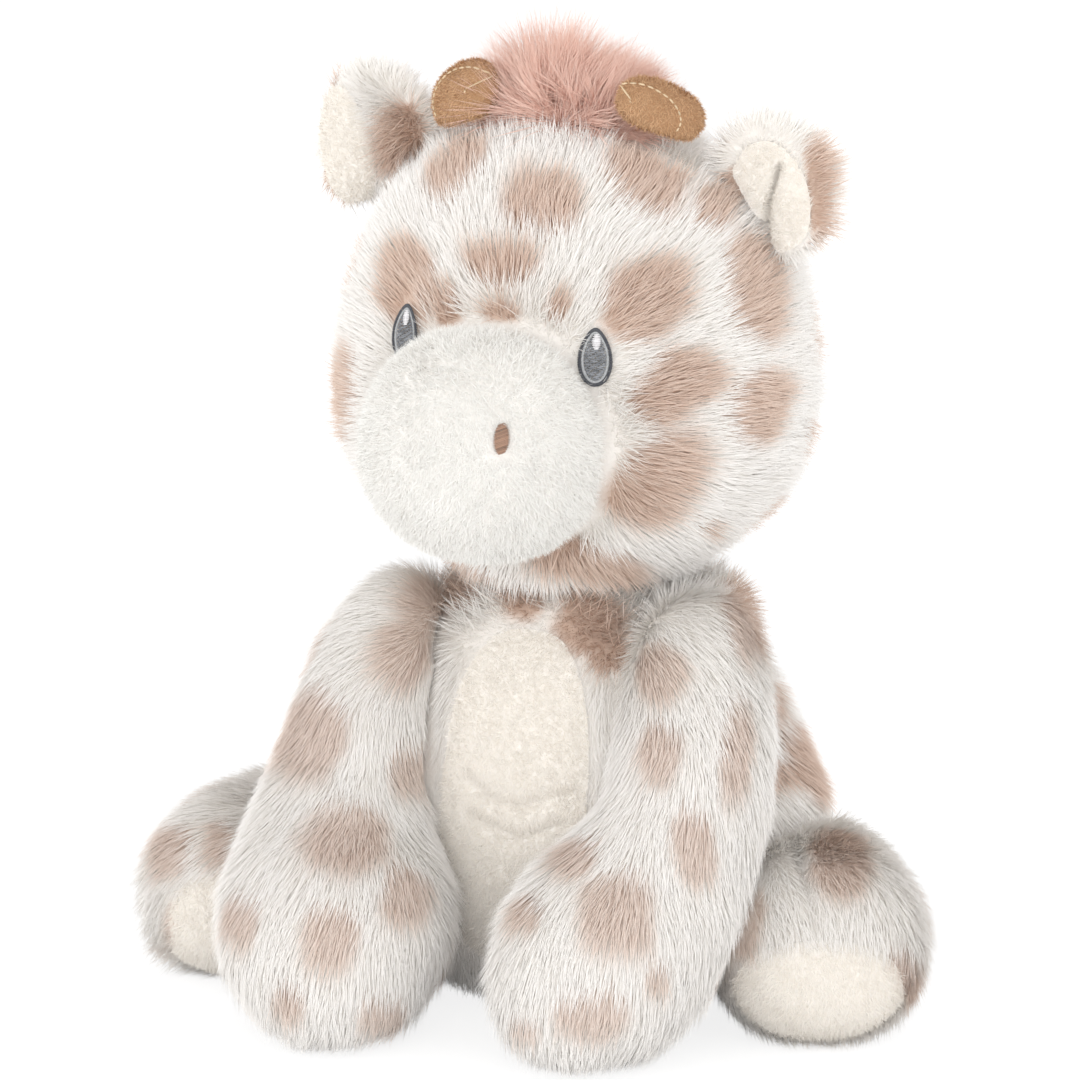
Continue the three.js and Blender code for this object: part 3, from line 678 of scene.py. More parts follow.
def pile_tree():
    """The tree that grows pile on a skin: closed strands that lean with the comb and gather in locks."""
    sizes = ("Density", "Length", "Width", "Lean", "Swirl", "Scatter", "Bend", "Locks", "Gather", "Flatness")
    made = Recipe("pile", {"Skin": "Geometry"} | dict.fromkeys(sizes, "Float")
                  | {"Segments": "Int", "Seed": "Int", "Finish": "Material"})
    given, node, vector = made.given, made.node, made.vector
    place = node("GeometryNodeInputPosition")
    length = Value(made.named("pile"))
    way, ground = made.named("way", DIRECTION), made.named("ground", DIRECTION)

    def seed(step):
        return Value(given["Seed"]) * 7 + step

    def scattered(density, step, swirl_place, scatter):
        """Points on the skin, each with the direction of the strand that grows there."""
        inputs = {"Mesh": given["Skin"], "Density": density, "Seed": seed(step)}
        spread = add(made.tree, "GeometryNodeDistributePointsOnFaces", inputs, distribute_method="RANDOM")
        normal = spread.outputs["Normal"]
        inputs = {"Vector": vector("ADD", place, swirl_place), "Scale": SWIRL_SCALE, "Detail": 1.0}
        cloud = node("ShaderNodeTexNoise", inputs, 1)
        swirl = vector("SCALE", vector("SUBTRACT", cloud, (0.5, 0.5, 0.5)), scale=given["Swirl"])
        loose = made.chance((-1, -1, -1), (1, 1, 1), seed(step + 1), DIRECTION)
        pull = vector("ADD", vector("SCALE", made.named("comb", DIRECTION), scale=given["Lean"]), swirl)
        lean = vector("ADD", pull, vector("SCALE", loose, scale=scatter))
        flat = vector("SUBTRACT", lean, vector("PROJECT", lean, normal))
        points = made.kept(spread.outputs["Points"], "ground", normal, DIRECTION)
        return made.kept(points, "way", vector("NORMALIZE", vector("ADD", normal, flat)), DIRECTION)

    locks = scattered(given["Locks"], 1, LOCK_SWIRL, Value(given["Scatter"]) * LOCK_SCATTER)
    thick = Value(given["Density"]) * length.math("GREATER_THAN", BARE_PILE)
    strands = scattered(thick, 3, (0.0, 0.0, 0.0), given["Scatter"])
    nearest = node("GeometryNodeSampleNearest", {"Geometry": locks, "Sample Position": place}, domain="POINT")

    def of_lock(value):
        inputs = {"Geometry": locks, "Value": value, "Index": nearest}
        return node("GeometryNodeSampleIndex", inputs, data_type=DIRECTION, domain="POINT")

    reach = Value(given["Length"])
    tip = vector("ADD", place, vector("SCALE", way, scale=reach))
    lock_tip = vector("ADD", of_lock(place), vector("SCALE", of_lock(way), scale=reach))
    gathered = node("ShaderNodeMix", {0: given["Gather"], 4: tip, 5: lock_tip}, 1, data_type="VECTOR")
    aim = vector("NORMALIZE", vector("SUBTRACT", gathered, place))
    strands = made.kept(strands, "way", aim, DIRECTION)
    strands = made.kept(strands, "root", made.named("OFBake", DIRECTION), DIRECTION)
    strands = made.kept(strands, "tone", made.chance(0.0, 1.0, seed(5)))

    inputs = {"Vertices": 3, "Side Segments": given["Segments"], "Radius Top": 0.0, "Depth": 1.0}
    inputs["Radius Bottom"] = Value(given["Width"]) / reach * 0.5
    strand = node("GeometryNodeMeshCone", inputs, fill_type="NGON")
    rise = Value(node("ShaderNodeSeparateXYZ", {0: place}, 2))
    strand = made.kept(strand, "rise", rise)
    offset = node("ShaderNodeCombineXYZ", {0: rise * rise * given["Bend"] / given["Flatness"] * -1})
    strand = node("GeometryNodeSetPosition", {"Geometry": strand, "Offset": offset})

    size = reach * made.chance(*STRAND_LENGTHS, seed(6))
    broad = size * length.at_least(LEAST_BREADTH)
    scale = (broad * given["Flatness"], broad, size * length)
    grown = made.copies(strands, strand, "ZX", (way, ground), scale)
    x, y, z = add(made.tree, "ShaderNodeSeparateXYZ", {0: place}).outputs
    over_floor = node("ShaderNodeCombineXYZ", {0: x, 1: y, 2: Value(z).at_least(FLOOR_LIFT)})
    grown = node("GeometryNodeSetPosition", {"Geometry": grown, "Position": over_floor})
    own = vector("SCALE", node("GeometryNodeInputNormal"), scale=1 - SOFTNESS)
    soft = vector("NORMALIZE", vector("ADD", own, vector("SCALE", ground, scale=SOFTNESS)))
    inputs = {"Mesh": grown, "Custom Normal": soft}
    grown = node("GeometryNodeSetMeshNormal", inputs, mode="FREE", domain="POINT")
    inputs = {0: Value(made.named("rise")) * FOOTPRINT, 1: made.chance(0.0, FOOTPRINT, seed(7))}
    spread = vector("ADD", made.named("root", DIRECTION), node("ShaderNodeCombineXYZ", inputs))
    return made.ended(made.kept(grown, "OFBake", spread, "FLOAT2", "CORNER"))


grower = pile_tree()
PILE_SIZES = {
    "Lean": PILE_LEAN, "Swirl": 1.5, "Scatter": 0.36, "Bend": 0.30, "Locks": 1.2e5, "Gather": 0.18,
    "Flatness": 0.3, "Segments": 1,
}


def pile(name, skin, finish, body, slot, seed, **sizes):
    """Grows pile on a skin as a piece of its own, which rides with it."""
    values = PILE_SIZES | {"Seed": seed, "Finish": finish}
    values |= {key.capitalize(): value for key, value in sizes.items()}
    spare = ("comb", "way", "root", "pile", "ground")
    return worked(placed(name, skin.data), grower, values, spare, body, slot)


def attribute(tree, name):
    return Value(add(tree, "ShaderNodeAttribute", attribute_name=name).outputs["Fac"])


def root_shade_and_tone(tree, patch, root_shade_share, streak, cloud, base):
    """How pale a strand is: darker to its root, which is painted shade deep in the pile, and each a little
    lighter or darker than the next at random.
    """
    light = attribute(tree, "rise") * root_shade_share + (attribute(tree, "tone") - 0.5) * streak
    return (light + (patch - 0.5) * cloud + base).clamp()


def plush(name, tips, shaded_roots, streak):
    """Long pile in the ground's colour and the spots', darker down at its base, which is painted shade deep
    in the pile.
    """
    made, tree = material(name)
    patch = noise(tree, scale=180.0)
    light = root_shade_and_tone(tree, patch, root_shade_share=0.8, streak=streak, cloud=0.5, base=0.1)
    pale, dark = (mixed(tree, light, root, tip) for root, tip in zip(shaded_roots, tips))
    finish_with(tree, {
        "Base Color": mixed(tree, attribute(tree, "spot").rise(low=0.15, high=0.85), pale, dark),
        "Roughness": patch * 0.1 + 0.8,
        "Specular IOR Level": 0.12,
    })
    return made


def backing(name, pale_code, spot_code=None):
    """The knitted ground that the pile grows from, which shows only where the pile parts."""
    made, tree = material(name)
    knit = noise(tree, scale=700.0)
    ground = mixed(tree, attribute(tree, "spot"), pale_code, spot_code or pale_code)
    finish_with(tree, {
        "Base Color": mixed(tree, knit * 0.12, ground, KNIT_SHADE),
        "Roughness": knit * 0.1 + 0.85,
        "Normal": bumped(tree, knit, KNIT_DEPTH),
    })
    return made


KNIT_SHADE = "#8f7c6e"
KNIT_DEPTH = 0.0003
# Tip and root colours of the plush: the darker root colours are painted shade deep in the pile.
WHITE_PILE = "#fffdfb"
WHITE_SHADED_ROOT = "#f4f0ea"
FAWN_TIP = "#f0ded1"
FAWN_SHADED_ROOT = "#caac99"
giraffe_pile = plush("giraffe_pile", (WHITE_PILE, FAWN_TIP), (WHITE_SHADED_ROOT, FAWN_SHADED_ROOT), streak=0.3)
giraffe_backing = backing("giraffe_backing", "#faf6f1", "#d5bcab")

DOWN = (0.0, 0.0, -1.0)
BODY_PILE = 0.0088
BODY_UNDERFUR = 0.0070
BODY_SPOTS = (
    (588, 618, 84, 66, 25), (514, 594, 54, 46, 0), (612, 658, 46, 36, 20), (750, 600, 40, 70, 0),
    (778, 701, 30, 42, -10), (824, 762, 52, 84, -20), (778, 776, 80, 30, 0), (440, 585, 50, 40, 0),
)
COLLAR_START = 0.080
COLLAR_DEPTH = 0.018
COLLAR_UPRIGHT = 0.85
NECK_CORNER = (752, 575)
NECK_WIDE = 45
NECK_DRAW = (0.0050, 0.0020)
TUMMY_CREASES = (((466, 776), (490, 797), (520, 804), (575, 790)), ((474, 816), (520, 838), (560, 822)))
TUMMY_CREASE_WIDE = 6
TUMMY_CREASE_DEEP = 0.0018
BELLY_SQUARE = 2.6
BELLY_STRETCH = 1.04
BELLY_FRONT = -0.02
BELLY_BARE = 0.95
BELLY_FADE = 0.2
BELLY_BEHIND = 9.0


def belly_share(points):
    """How far points are from the middle of the belly's panel, as a share of the way to its edge."""
    low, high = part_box("tummy_patch")
    middle, half = (low + high) / 2, (high - low) / 2
    x, y, z = points.T
    wide, tall = np.abs(x / half.x) / BELLY_STRETCH, np.abs((z - middle.z) / half.z)
    share = (wide ** BELLY_SQUARE + tall ** BELLY_SQUARE) ** (1 / BELLY_SQUARE)
    return np.where(y < BELLY_FRONT, share, BELLY_BEHIND)


def body_comb(points):
    """Straight down, and nearly upright under the neck."""
    collar = np.clip((points[:, 2:] - COLLAR_START) / COLLAR_DEPTH, 0, 1)
    return np.array(DOWN) * (1 - COLLAR_UPRIGHT * collar)


body_nodes = ["body_cover", "tummy_patch", "body_stuffing_lower", "body_stuffing_upper"]
body_skin = stuffed("body_skin", body_nodes)
drawn_out(body_skin, NECK_CORNER, NECK_WIDE, NECK_DRAW)
for line in TUMMY_CREASES:
    creased(body_skin, line, TUMMY_CREASE_WIDE, TUMMY_CREASE_DEEP)
legs = [f"{side}_{limb}_leg_cover" for side in ("right", "left") for limb in ("front", "hind")]
combed(body_skin, body_comb)
spotted(body_skin, BODY_SPOTS)
cleared(body_skin, [solid_tree(*legs), solid_tree("neck_stuffing")], pressed=PRESSED_PILE)
shortened(body_skin, np.clip((belly_share(points_of(body_skin)) - BELLY_BARE) / BELLY_FADE, 0, 1))
based(body_skin, giraffe_backing, "body")
stands_for(body_skin, FIRM_FILL, "body_cover", "body_stuffing_lower", "body_stuffing_upper")
pile("body_fur", body_skin, giraffe_pile, "body", "white_plush", 1,
     density=0.95e6, length=BODY_PILE, width=0.00040)
pile("body_underfur", body_skin, giraffe_pile, "body", "white_plush", 2,
     density=0.98e6, length=BODY_UNDERFUR, width=0.00048)

# Tummy panel
# A cream velour oval let into the front of the body, soft enough to wrinkle a little where it sits.
# It is a piece of the body's own skin, a little raised, with its own short pile.
PANEL_LIFT = 0.0004
PANEL_SEAM = 0.0012
CREAM_PALE = "#fffbf5"
# The deeper cream is where the velour's painted shade deep in the pile and its random mottle take it.
CREAM_SHADE_AND_MOTTLE = "#f3ece2"
VELOUR_SIZES = {
    "density": 5.9e6, "length": 0.0020, "width": 0.00028,
    "lean": 0.8, "swirl": 1.2, "scatter": 1.0, "gather": 0.1,
}


def part_of(skin, name, share):
    """A panel sewn into a skin: a copy of the skin's faces whose share is under 1, a little raised."""
    work = bmesh.new()
    work.from_mesh(skin.data)
    edge, beyond = {}, []
    for vert in work.verts:
        if share[vert.index] <= 1:
            continue
        within = [e.other_vert(vert) for e in vert.link_edges if share[e.other_vert(vert).index] <= 1]
        if within:
            start = min(within, key=lambda v: share[v.index])
            part = (1 - share[start.index]) / (share[vert.index] - share[start.index])
            edge[vert] = start.co.lerp(vert.co, part)
        else:
            beyond.append(vert)
    for vert, place in edge.items():
        vert.co = place
    bmesh.ops.delete(work, geom=beyond, context="VERTS")
    for vert in work.verts:
        vert.co += vert.normal * PANEL_LIFT
    panel = placed(name, meshed(work, bpy.data.meshes.new(name)))
    panel.data.materials.clear()
    without(panel, "spot", "pile", "comb")
    return panel


def velour(name, pale, deep):
    """Short dense pile that is darker to its base, which is painted shade deep in the pile, and mottled at
    random.
    """
    made, tree = material(name)
    patch = noise(tree, scale=140.0)
    light = root_shade_and_tone(tree, patch, root_shade_share=0.55, streak=0.35, cloud=0.7, base=0.35)
    finish_with(tree, {
        "Base Color": mixed(tree, light, deep, pale),
        "Roughness": patch * 0.1 + 0.82,
        "Specular IOR Level": 0.12,
    })
    return made


def lined(panel, ground, finish, body, slot, seed, way, trees=(), factor=1.0, **sizes):
    """Finishes a panel: its ground cloth and its short pile."""
    cleared(panel, trees, PANEL_SEAM)
    shortened(panel, factor)
    combed(panel, way)
    based(panel, ground, body)
    pile(panel.name + "_pile", panel, finish, body, slot, seed, **sizes)


cream_ground = backing("cream_ground", CREAM_PALE)
cream_velour = velour("cream_velour", CREAM_PALE, CREAM_SHADE_AND_MOTTLE)
tummy = part_of(body_skin, "tummy", belly_share(points_of(body_skin)))
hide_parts("tummy_patch")
lined(tummy, cream_ground, cream_velour, "body", "cream_velour", 3, DOWN, **VELOUR_SIZES)

# Neck
# The waist between the head and the body, where the head turns and nods. It is filled as they are,
# and its shorter pile fills the crease between them.
NECK_PILE = 0.0055
NECK_SEAM = 0.0010
NECK_STRANDS = (1.6e6, 1.6e6)
LAYERS = (("fur", 1, 0.00038), ("underfur", 0.8, 0.00046))


def furred(skin, body, seed, length, strands, **sizes):
    """Finishes a plush skin: its ground cloth, its long pile and the shorter pile beneath."""
    based(skin, giraffe_backing, body)
    for under, (layer, share, width) in enumerate(LAYERS):
        pile(f"{skin.name}_{layer}", skin, giraffe_pile, body, "white_plush", seed + under,
             density=strands[under], length=length * share, width=width, **sizes)


neck_skin = stuffed("neck_skin", ["neck_stuffing"])
combed(neck_skin, DOWN)
spotted(neck_skin, BODY_SPOTS)
beside = [solid_tree("body_cover", "body_stuffing_upper"), solid_tree("head_cover", "head_stuffing")]
cleared(neck_skin, beside, NECK_SEAM)
stands_for(neck_skin, FIRM_FILL, "neck_stuffing")
furred(neck_skin, "neck", 11, NECK_PILE, NECK_STRANDS)

# Head
# A round stuffed sack of the same plush, brushed away from the muzzle and down the back.
# The pile stands up round the tuft, horns and ears, and is clipped short over the eyes.
HEAD_PILE = 0.0088
HEAD_STRANDS = (1.22e6, 1.20e6)
HEAD_SEAM = 0.0013
HEAD_SPOTS = (
    (540, 190, 84, 64, 8), (497, 255, 72, 40, 6), (655, 290, 88, 78, -28), (398, 278, 54, 84, 12),
    (450, 162, 74, 40, -42), (650, 172, 96, 62, 40), (765, 285, 60, 104, -14), (680, 385, 96, 62, -38),
    (770, 405, 52, 84, 12), (663, 490, 124, 72, -42), (438, 300, 30, 44, 0), (495, 305, 40, 26, 0),
    (557, 300, 26, 28, 0), (350, 262, 26, 60, 6), (336, 400, 22, 110, 4), (815, 330, 22, 60, 0),
    (762, 520, 40, 56, 20), (713, 530, 24, 28, 0), (585, 574, 124, 34, 6), (720, 205, 46, 46, 20),
    (812, 440, 20, 50, 0),
)
MUZZLE_TIP = np.array([0.0, -0.088, 0.148])
BACK_START = -0.01
BACK_DEPTH = 0.05
BACK_COMB = np.array([0.0, 0.3, -1.0])
EYE_MARGIN = 0.0007
EYE_STUBBLE = 0.25
EYE_CLIP = 0.0040
UPRIGHT_REACH = 0.010
UPRIGHT_LEAN = 0.15
CROWN_SEAM = 0.0012
CROWN_BARE = 0.5

head_skin = stuffed("head_skin", ["head_cover", "head_stuffing"])
muzzle_tree = solid_tree("muzzle_cover", "muzzle_stuffing")
crown_tree = solid_tree("crown_tuft", "right_horn", "left_horn", "right_ear_back", "left_ear_back")


def head_comb(points):
    """Away from the muzzle, turning downward to the back, and upright beside what is sewn on."""
    away = points - MUZZLE_TIP
    away /= np.linalg.norm(away, axis=1, keepdims=True)
    back = np.clip((points[:, 1:2] - BACK_START) / BACK_DEPTH, 0, 1)
    lying = np.ones(len(points))
    for tree in (crown_tree, muzzle_tree):
        share = gaps_to(tree, points, UPRIGHT_REACH) / UPRIGHT_REACH
        lying = np.minimum(lying, np.maximum(UPRIGHT_LEAN, share))
    return (away * (1 - back) + BACK_COMB * back) * lying[:, None]


def near_share(piece, tree, reach):
    """How far a piece's points are from a surface, as a share of a reach."""
    return gaps_to(tree, points_of(piece), MOST_REACHES * reach) / reach


combed(head_skin, head_comb)
spotted(head_skin, HEAD_SPOTS)
cleared(head_skin, [muzzle_tree, solid_tree("neck_stuffing")], HEAD_SEAM,
        clipped=solid_tree("right_eye", "left_eye"), margin=EYE_MARGIN, least=EYE_STUBBLE, over=EYE_CLIP)
shortened(head_skin, np.clip(near_share(head_skin, crown_tree, CROWN_SEAM) - CROWN_BARE, 0, 1))
stands_for(head_skin, FIRM_FILL, "head_cover", "head_stuffing")
furred(head_skin, "head", 21, HEAD_PILE, HEAD_STRANDS)

# Muzzle
# A round cushion of plain white plush with a shorter pile, sewn to the front of the head.
# It is filled on its own, and its pile is clipped away round the left nostril.
MUZZLE_VOXEL = 0.0028
MUZZLE_PILE = 0.0028
MUZZLE_SEAM = 0.0010
NOSTRIL_MARGIN = 0.0008
muzzle_ground = backing("muzzle_ground", "#fbf8f4")
# The muzzle velour's second colour is its painted shade deep in the pile and its random mottle.
muzzle_plush = velour("muzzle_plush", "#fcfbf8", "#f4f2ee")
muzzle_skin = stuffed("muzzle_skin", ["muzzle_cover", "muzzle_stuffing"], MUZZLE_VOXEL)
combed(muzzle_skin, DOWN)
cleared(muzzle_skin, [solid_tree("head_cover")], MUZZLE_SEAM,
        clipped=solid_tree("left_nostril"), margin=NOSTRIL_MARGIN)
based(muzzle_skin, muzzle_ground, "head")
stands_for(muzzle_skin, FIRM_FILL, "muzzle_cover", "muzzle_stuffing")
pile("muzzle_fur", muzzle_skin, muzzle_plush, "head", "muzzle_plush", 31, density=5.3e6,
     length=MUZZLE_PILE, width=0.00028, lean=0.7, swirl=1.6, scatter=0.9, gather=0.15)

# Eyes
# Machine embroidery: satin stitches of glossy thread, laid side by side through the pile.
# Each eye is a dark teardrop edge, a pale rim, rows of grey that zigzag, and a white glint.
THREAD = 0.00046
ROW_PITCH = 0.00040
FILL_STITCH = 0.0021
LEAST_STITCH = 0.0004
FILL_SLOPE = 0.55
FILL_INSET = 0.0012
EYE_WIDE = 0.0078
EYE_HIGH = 0.0134
EYE_DROP = Vector((0, 0, 0.0018))
EYE_RISE = 0.0015
EYE_TAPER, EYE_POINT = 0.12, 0.20
EDGE_STITCHES = 104
RIM_INSETS, RIM_RISE = (0.0013, 0.0005), 0.0001
EDGE_INSETS, EDGE_RISE = (0.0007, -0.0003), 0.0002
GLINT_ROWS, GLINT_RISE = 9, 0.00045
GLINT_HALF_WIDE, GLINT_HALF_HIGH = 0.0012, 0.0019
GLINT_ACROSS, GLINT_UP, GLINT_SLOPE = 0.0003, 0.27, 0.0001
PATCH_REACH = 0.02


def thread(name, code, depth=0.72):
    """Glossy embroidery thread, each stitch a little lighter or darker than the next."""
    made, tree = material(name)
    tone, strand = attribute(tree, "tone"), noise(tree, scale=2500.0)
    finish_with(tree, {
        "Base Color": mixed(tree, (tone * 0.6 + strand * 0.4).clamp(), colour(code, depth), code),
        "Roughness": strand * 0.15 + 0.38,
        "Normal": bumped(tree, strand, 0.0001),
    })
    return made


def stitch_tree():
    """The tree that lays a stitch at each point, along one attribute and standing off by another."""
    made = Recipe("stitches", {"Points": "Geometry", "Width": "Float", "Seed": "Int", "Finish": "Material"})
    given, node = made.given, made.node
    dots = node("GeometryNodeMeshToPoints", {"Mesh": given["Points"]})
    dots = made.kept(dots, "tone", made.chance(0.0, 1.0, given["Seed"]))
    grain = node("GeometryNodeMeshUVSphere", {"Segments": 8, "Rings": 6, "Radius": 0.5})
    ways = made.named("along", DIRECTION), made.named("up", DIRECTION)
    reach = node("ShaderNodeVectorMath", {0: ways[0]}, 1, operation="LENGTH")
    return made.ended(made.copies(dots, grain, "XZ", ways, (reach, given["Width"], given["Width"])))


stitcher = stitch_tree()


def stitched(name, stitches, width, finish, slot, seed):
    """Lays stitches as a piece: each is its middle, its whole length as a direction, and the way up."""
    mesh = bpy.data.meshes.new(name)
    mesh.from_pydata([tuple(s[0]) for s in stitches], [], [])
    piece = placed(name, mesh)
    for part, what in ((1, "along"), (2, "up")):
        store(piece, what, np.array([tuple(s[part]) for s in stitches]))
    values = {"Width": width, "Seed": seed, "Finish": finish}
    return round_faced(worked(piece, stitcher, values, ("along", "up"), "head", slot))


class Patch:
    """A flat frame laid on a surface, in which embroidery is drawn: x across, y up, in metres."""

    def __init__(self, surface, middle, upward, lift):
        self.surface = surface
        self.lift = lift
        self.middle, self.normal = surface.find_nearest(middle)[:2]
        self.across = Vector(upward).cross(self.normal).normalized()
        self.upward = self.normal.cross(self.across).normalized()

    def at(self, x, y, raised):
        """The point over the surface, and the surface's normal there."""
        start = self.middle + self.across * x + self.upward * y + self.normal * PATCH_REACH
        point, normal = self.surface.ray_cast(start, -self.normal)[:2]
        if point is None:
            point, normal = self.surface.find_nearest(start)[:2]
        return point + normal * (self.lift + raised), normal

    def stitch(self, x0, y0, x1, y1, raised=0.0):
        start, normal = self.at(x0, y0, raised)
        end = self.at(x1, y1, raised)[0]
        return (start + end) / 2, end - start, normal


def eye_edge(turn, inset):
    """The outline of an eye, a teardrop that narrows to the top."""
    wide, high = EYE_WIDE / 2 - inset, EYE_HIGH / 2 - inset
    narrow = 1 - EYE_TAPER * math.sin(turn) - EYE_POINT * max(0.0, math.sin(turn)) ** 2
    return wide * narrow * math.cos(turn), high * math.sin(turn)


def oval_half(y, half_wide, half_high):
    """Half the width of an oval at a height."""
    return half_wide * math.sqrt(max(0.0, 1 - (y / half_high) ** 2))


def row_heights(high):
    """The heights of the rows of stitches that fill a height."""
    count = int(high / ROW_PITCH)
    return [(row + 0.5 - count / 2) * ROW_PITCH for row in range(count)]


def eye_threads(side, patch, seed):
    """The stitches of an eye, in four pieces."""
    fill, rim, edge, glint = [], [], [], []
    high = EYE_HIGH / 2 - FILL_INSET
    for row, y in enumerate(row_heights(EYE_HIGH)):
        half = eye_edge(math.asin(y / high), FILL_INSET)[0] if abs(y) < high else 0.0
        start = -half + (row % 3) * FILL_STITCH / 3 - FILL_STITCH
        while start < half:
            a, b = max(start, -half), min(start + FILL_STITCH, half)
            if b - a > LEAST_STITCH:
                slope = ROW_PITCH * (FILL_SLOPE if row % 2 else -FILL_SLOPE)
                fill.append(patch.stitch(a, y - slope / 2, b, y + slope / 2))
            start += FILL_STITCH
    for step in range(EDGE_STITCHES):
        turn = 2 * math.pi * step / EDGE_STITCHES
        for ring, insets, rise in ((rim, RIM_INSETS, RIM_RISE), (edge, EDGE_INSETS, EDGE_RISE)):
            ring.append(patch.stitch(*eye_edge(turn, insets[0]), *eye_edge(turn, insets[1]), rise))
    for row in range(GLINT_ROWS):
        y = (row - GLINT_ROWS // 2) * ROW_PITCH
        half, middle = oval_half(y, GLINT_HALF_WIDE, GLINT_HALF_HIGH), EYE_HIGH * GLINT_UP + y
        glint.append(patch.stitch(GLINT_ACROSS - half, middle, GLINT_ACROSS + half, middle + GLINT_SLOPE,
                                  GLINT_RISE))
    parts = (("fill", fill, fill_thread), ("rim", rim, rim_thread), ("edge", edge, edge_thread))
    for number, (what, stitches, finish) in enumerate(parts):
        piece = stitched(f"{side}_eye_{what}", stitches, THREAD, finish, "grey_thread", seed + number)
        if what == "fill":
            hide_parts(f"{side}_eye")
    piece = stitched(f"{side}_eye_shine", glint, THREAD, glint_thread, "white_thread", seed + 5)
    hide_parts(f"{side}_eye_glint")


def box_middle(node):
    low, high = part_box(node)
    return (low + high) / 2


edge_thread = thread("edge_thread", "#4c4e54")
rim_thread = thread("rim_thread", "#b9bbbd")
fill_thread = thread("fill_thread", "#9da0a6", depth=0.3)
glint_thread = thread("glint_thread", "#f4f2f4")
head_surface = surface_of(head_skin)
for number, side in enumerate(("right", "left")):
    patch = Patch(head_surface, box_middle(f"{side}_eye") - EYE_DROP, (0, 0, 1), EYE_RISE)
    eye_threads(side, patch, 40 + 10 * number)

# Nostrils
# A small oval of slanting satin stitches in brown thread on each side of the muzzle's front.
# The left one stands clear in the clipped pile, and the right one lies almost hidden in it.
NOSTRIL_THREAD = THREAD * 1.15
NOSTRIL_WIDE = 0.0038
NOSTRIL_HIGH = 0.0070
NOSTRIL_OVERHANG = 0.0002
NOSTRIL_SLANT = 0.35
NOSTRIL_RISE = {"right": -0.0002, "left": 0.0009}
nostril_thread = thread("nostril_thread", "#b8937c", depth=0.25)
muzzle_surface = surface_of(muzzle_skin)
for number, side in enumerate(("right", "left")):
    patch = Patch(muzzle_surface, box_middle(f"{side}_nostril"), (0, 0, 1), NOSTRIL_RISE[side])
    stitches = []
    for y in row_heights(NOSTRIL_HIGH):
        half = oval_half(y, NOSTRIL_WIDE / 2, NOSTRIL_HIGH / 2) + NOSTRIL_OVERHANG
        stitches.append(patch.stitch(-half, y - half * NOSTRIL_SLANT, half, y + half * NOSTRIL_SLANT))
    piece = stitched(
        f"{side}_nostril_thread", stitches, NOSTRIL_THREAD, nostril_thread, "brown_thread", 70 + number)
    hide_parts(f"{side}_nostril")

# Ears
# A plush back and a cream velour lining, sewn together round the edge and turned right side out.
# The left one is folded once along its middle, and both are sewn into the crown by the root.
SIDES = (("right", -1), ("left", 1))
EAR_PILE = 0.0080
EAR_STRANDS = (1.8e6, 1.8e6)
EAR_SEAM = 0.0011
EAR_EDGE, EDGE_FADE = 0.85, 0.5
EAR_FILL = 0.4
EAR_DRAW = {"right": (-0.0055, 0.0, 0.0035), "left": (-0.0030, 0.0, 0.0)}
EAR_HEM = {"right": ((326, 196), 42, (-0.0035, -0.0050)), "left": ((752, 130), 50, (0.0, 0.0025))}
EAR_FOLD = ((779, 168), (768, 205), (766, 240))
FOLD_PIXELS = 6
FOLD_DEPTH = 0.0034
FOLD_PRESS = 0.8
EAR_SPOTS = ((398, 142, 58, 88, 8), (828, 190, 34, 124, 0), (716, 192, 34, 50, 35))
EAR_HIDDEN_FACING = -0.85
LINING_NEAR = {"right": 0.0060, "left": 0.0026}
LINING_OVALS = {"right": (349, 152, 52, 132, -10), "left": (770, 201, 80, 122, -10)}
LINING_FACING = {"right": 0.30, "left": 0.15}
LINING_TURN = 3
LINING_PUFF = 0.0012
HOLLOW_DEPTH = np.array([0.0, -0.012, 0.0])
HOLLOW_SPREAD = 45
LINING_COMB = (0.5, -0.2, 0.7)


def mirrored(way, outward):
    """A direction as it is on the left side, or its mirror image on the right."""
    return np.array([outward, 1, 1]) * np.array(way)


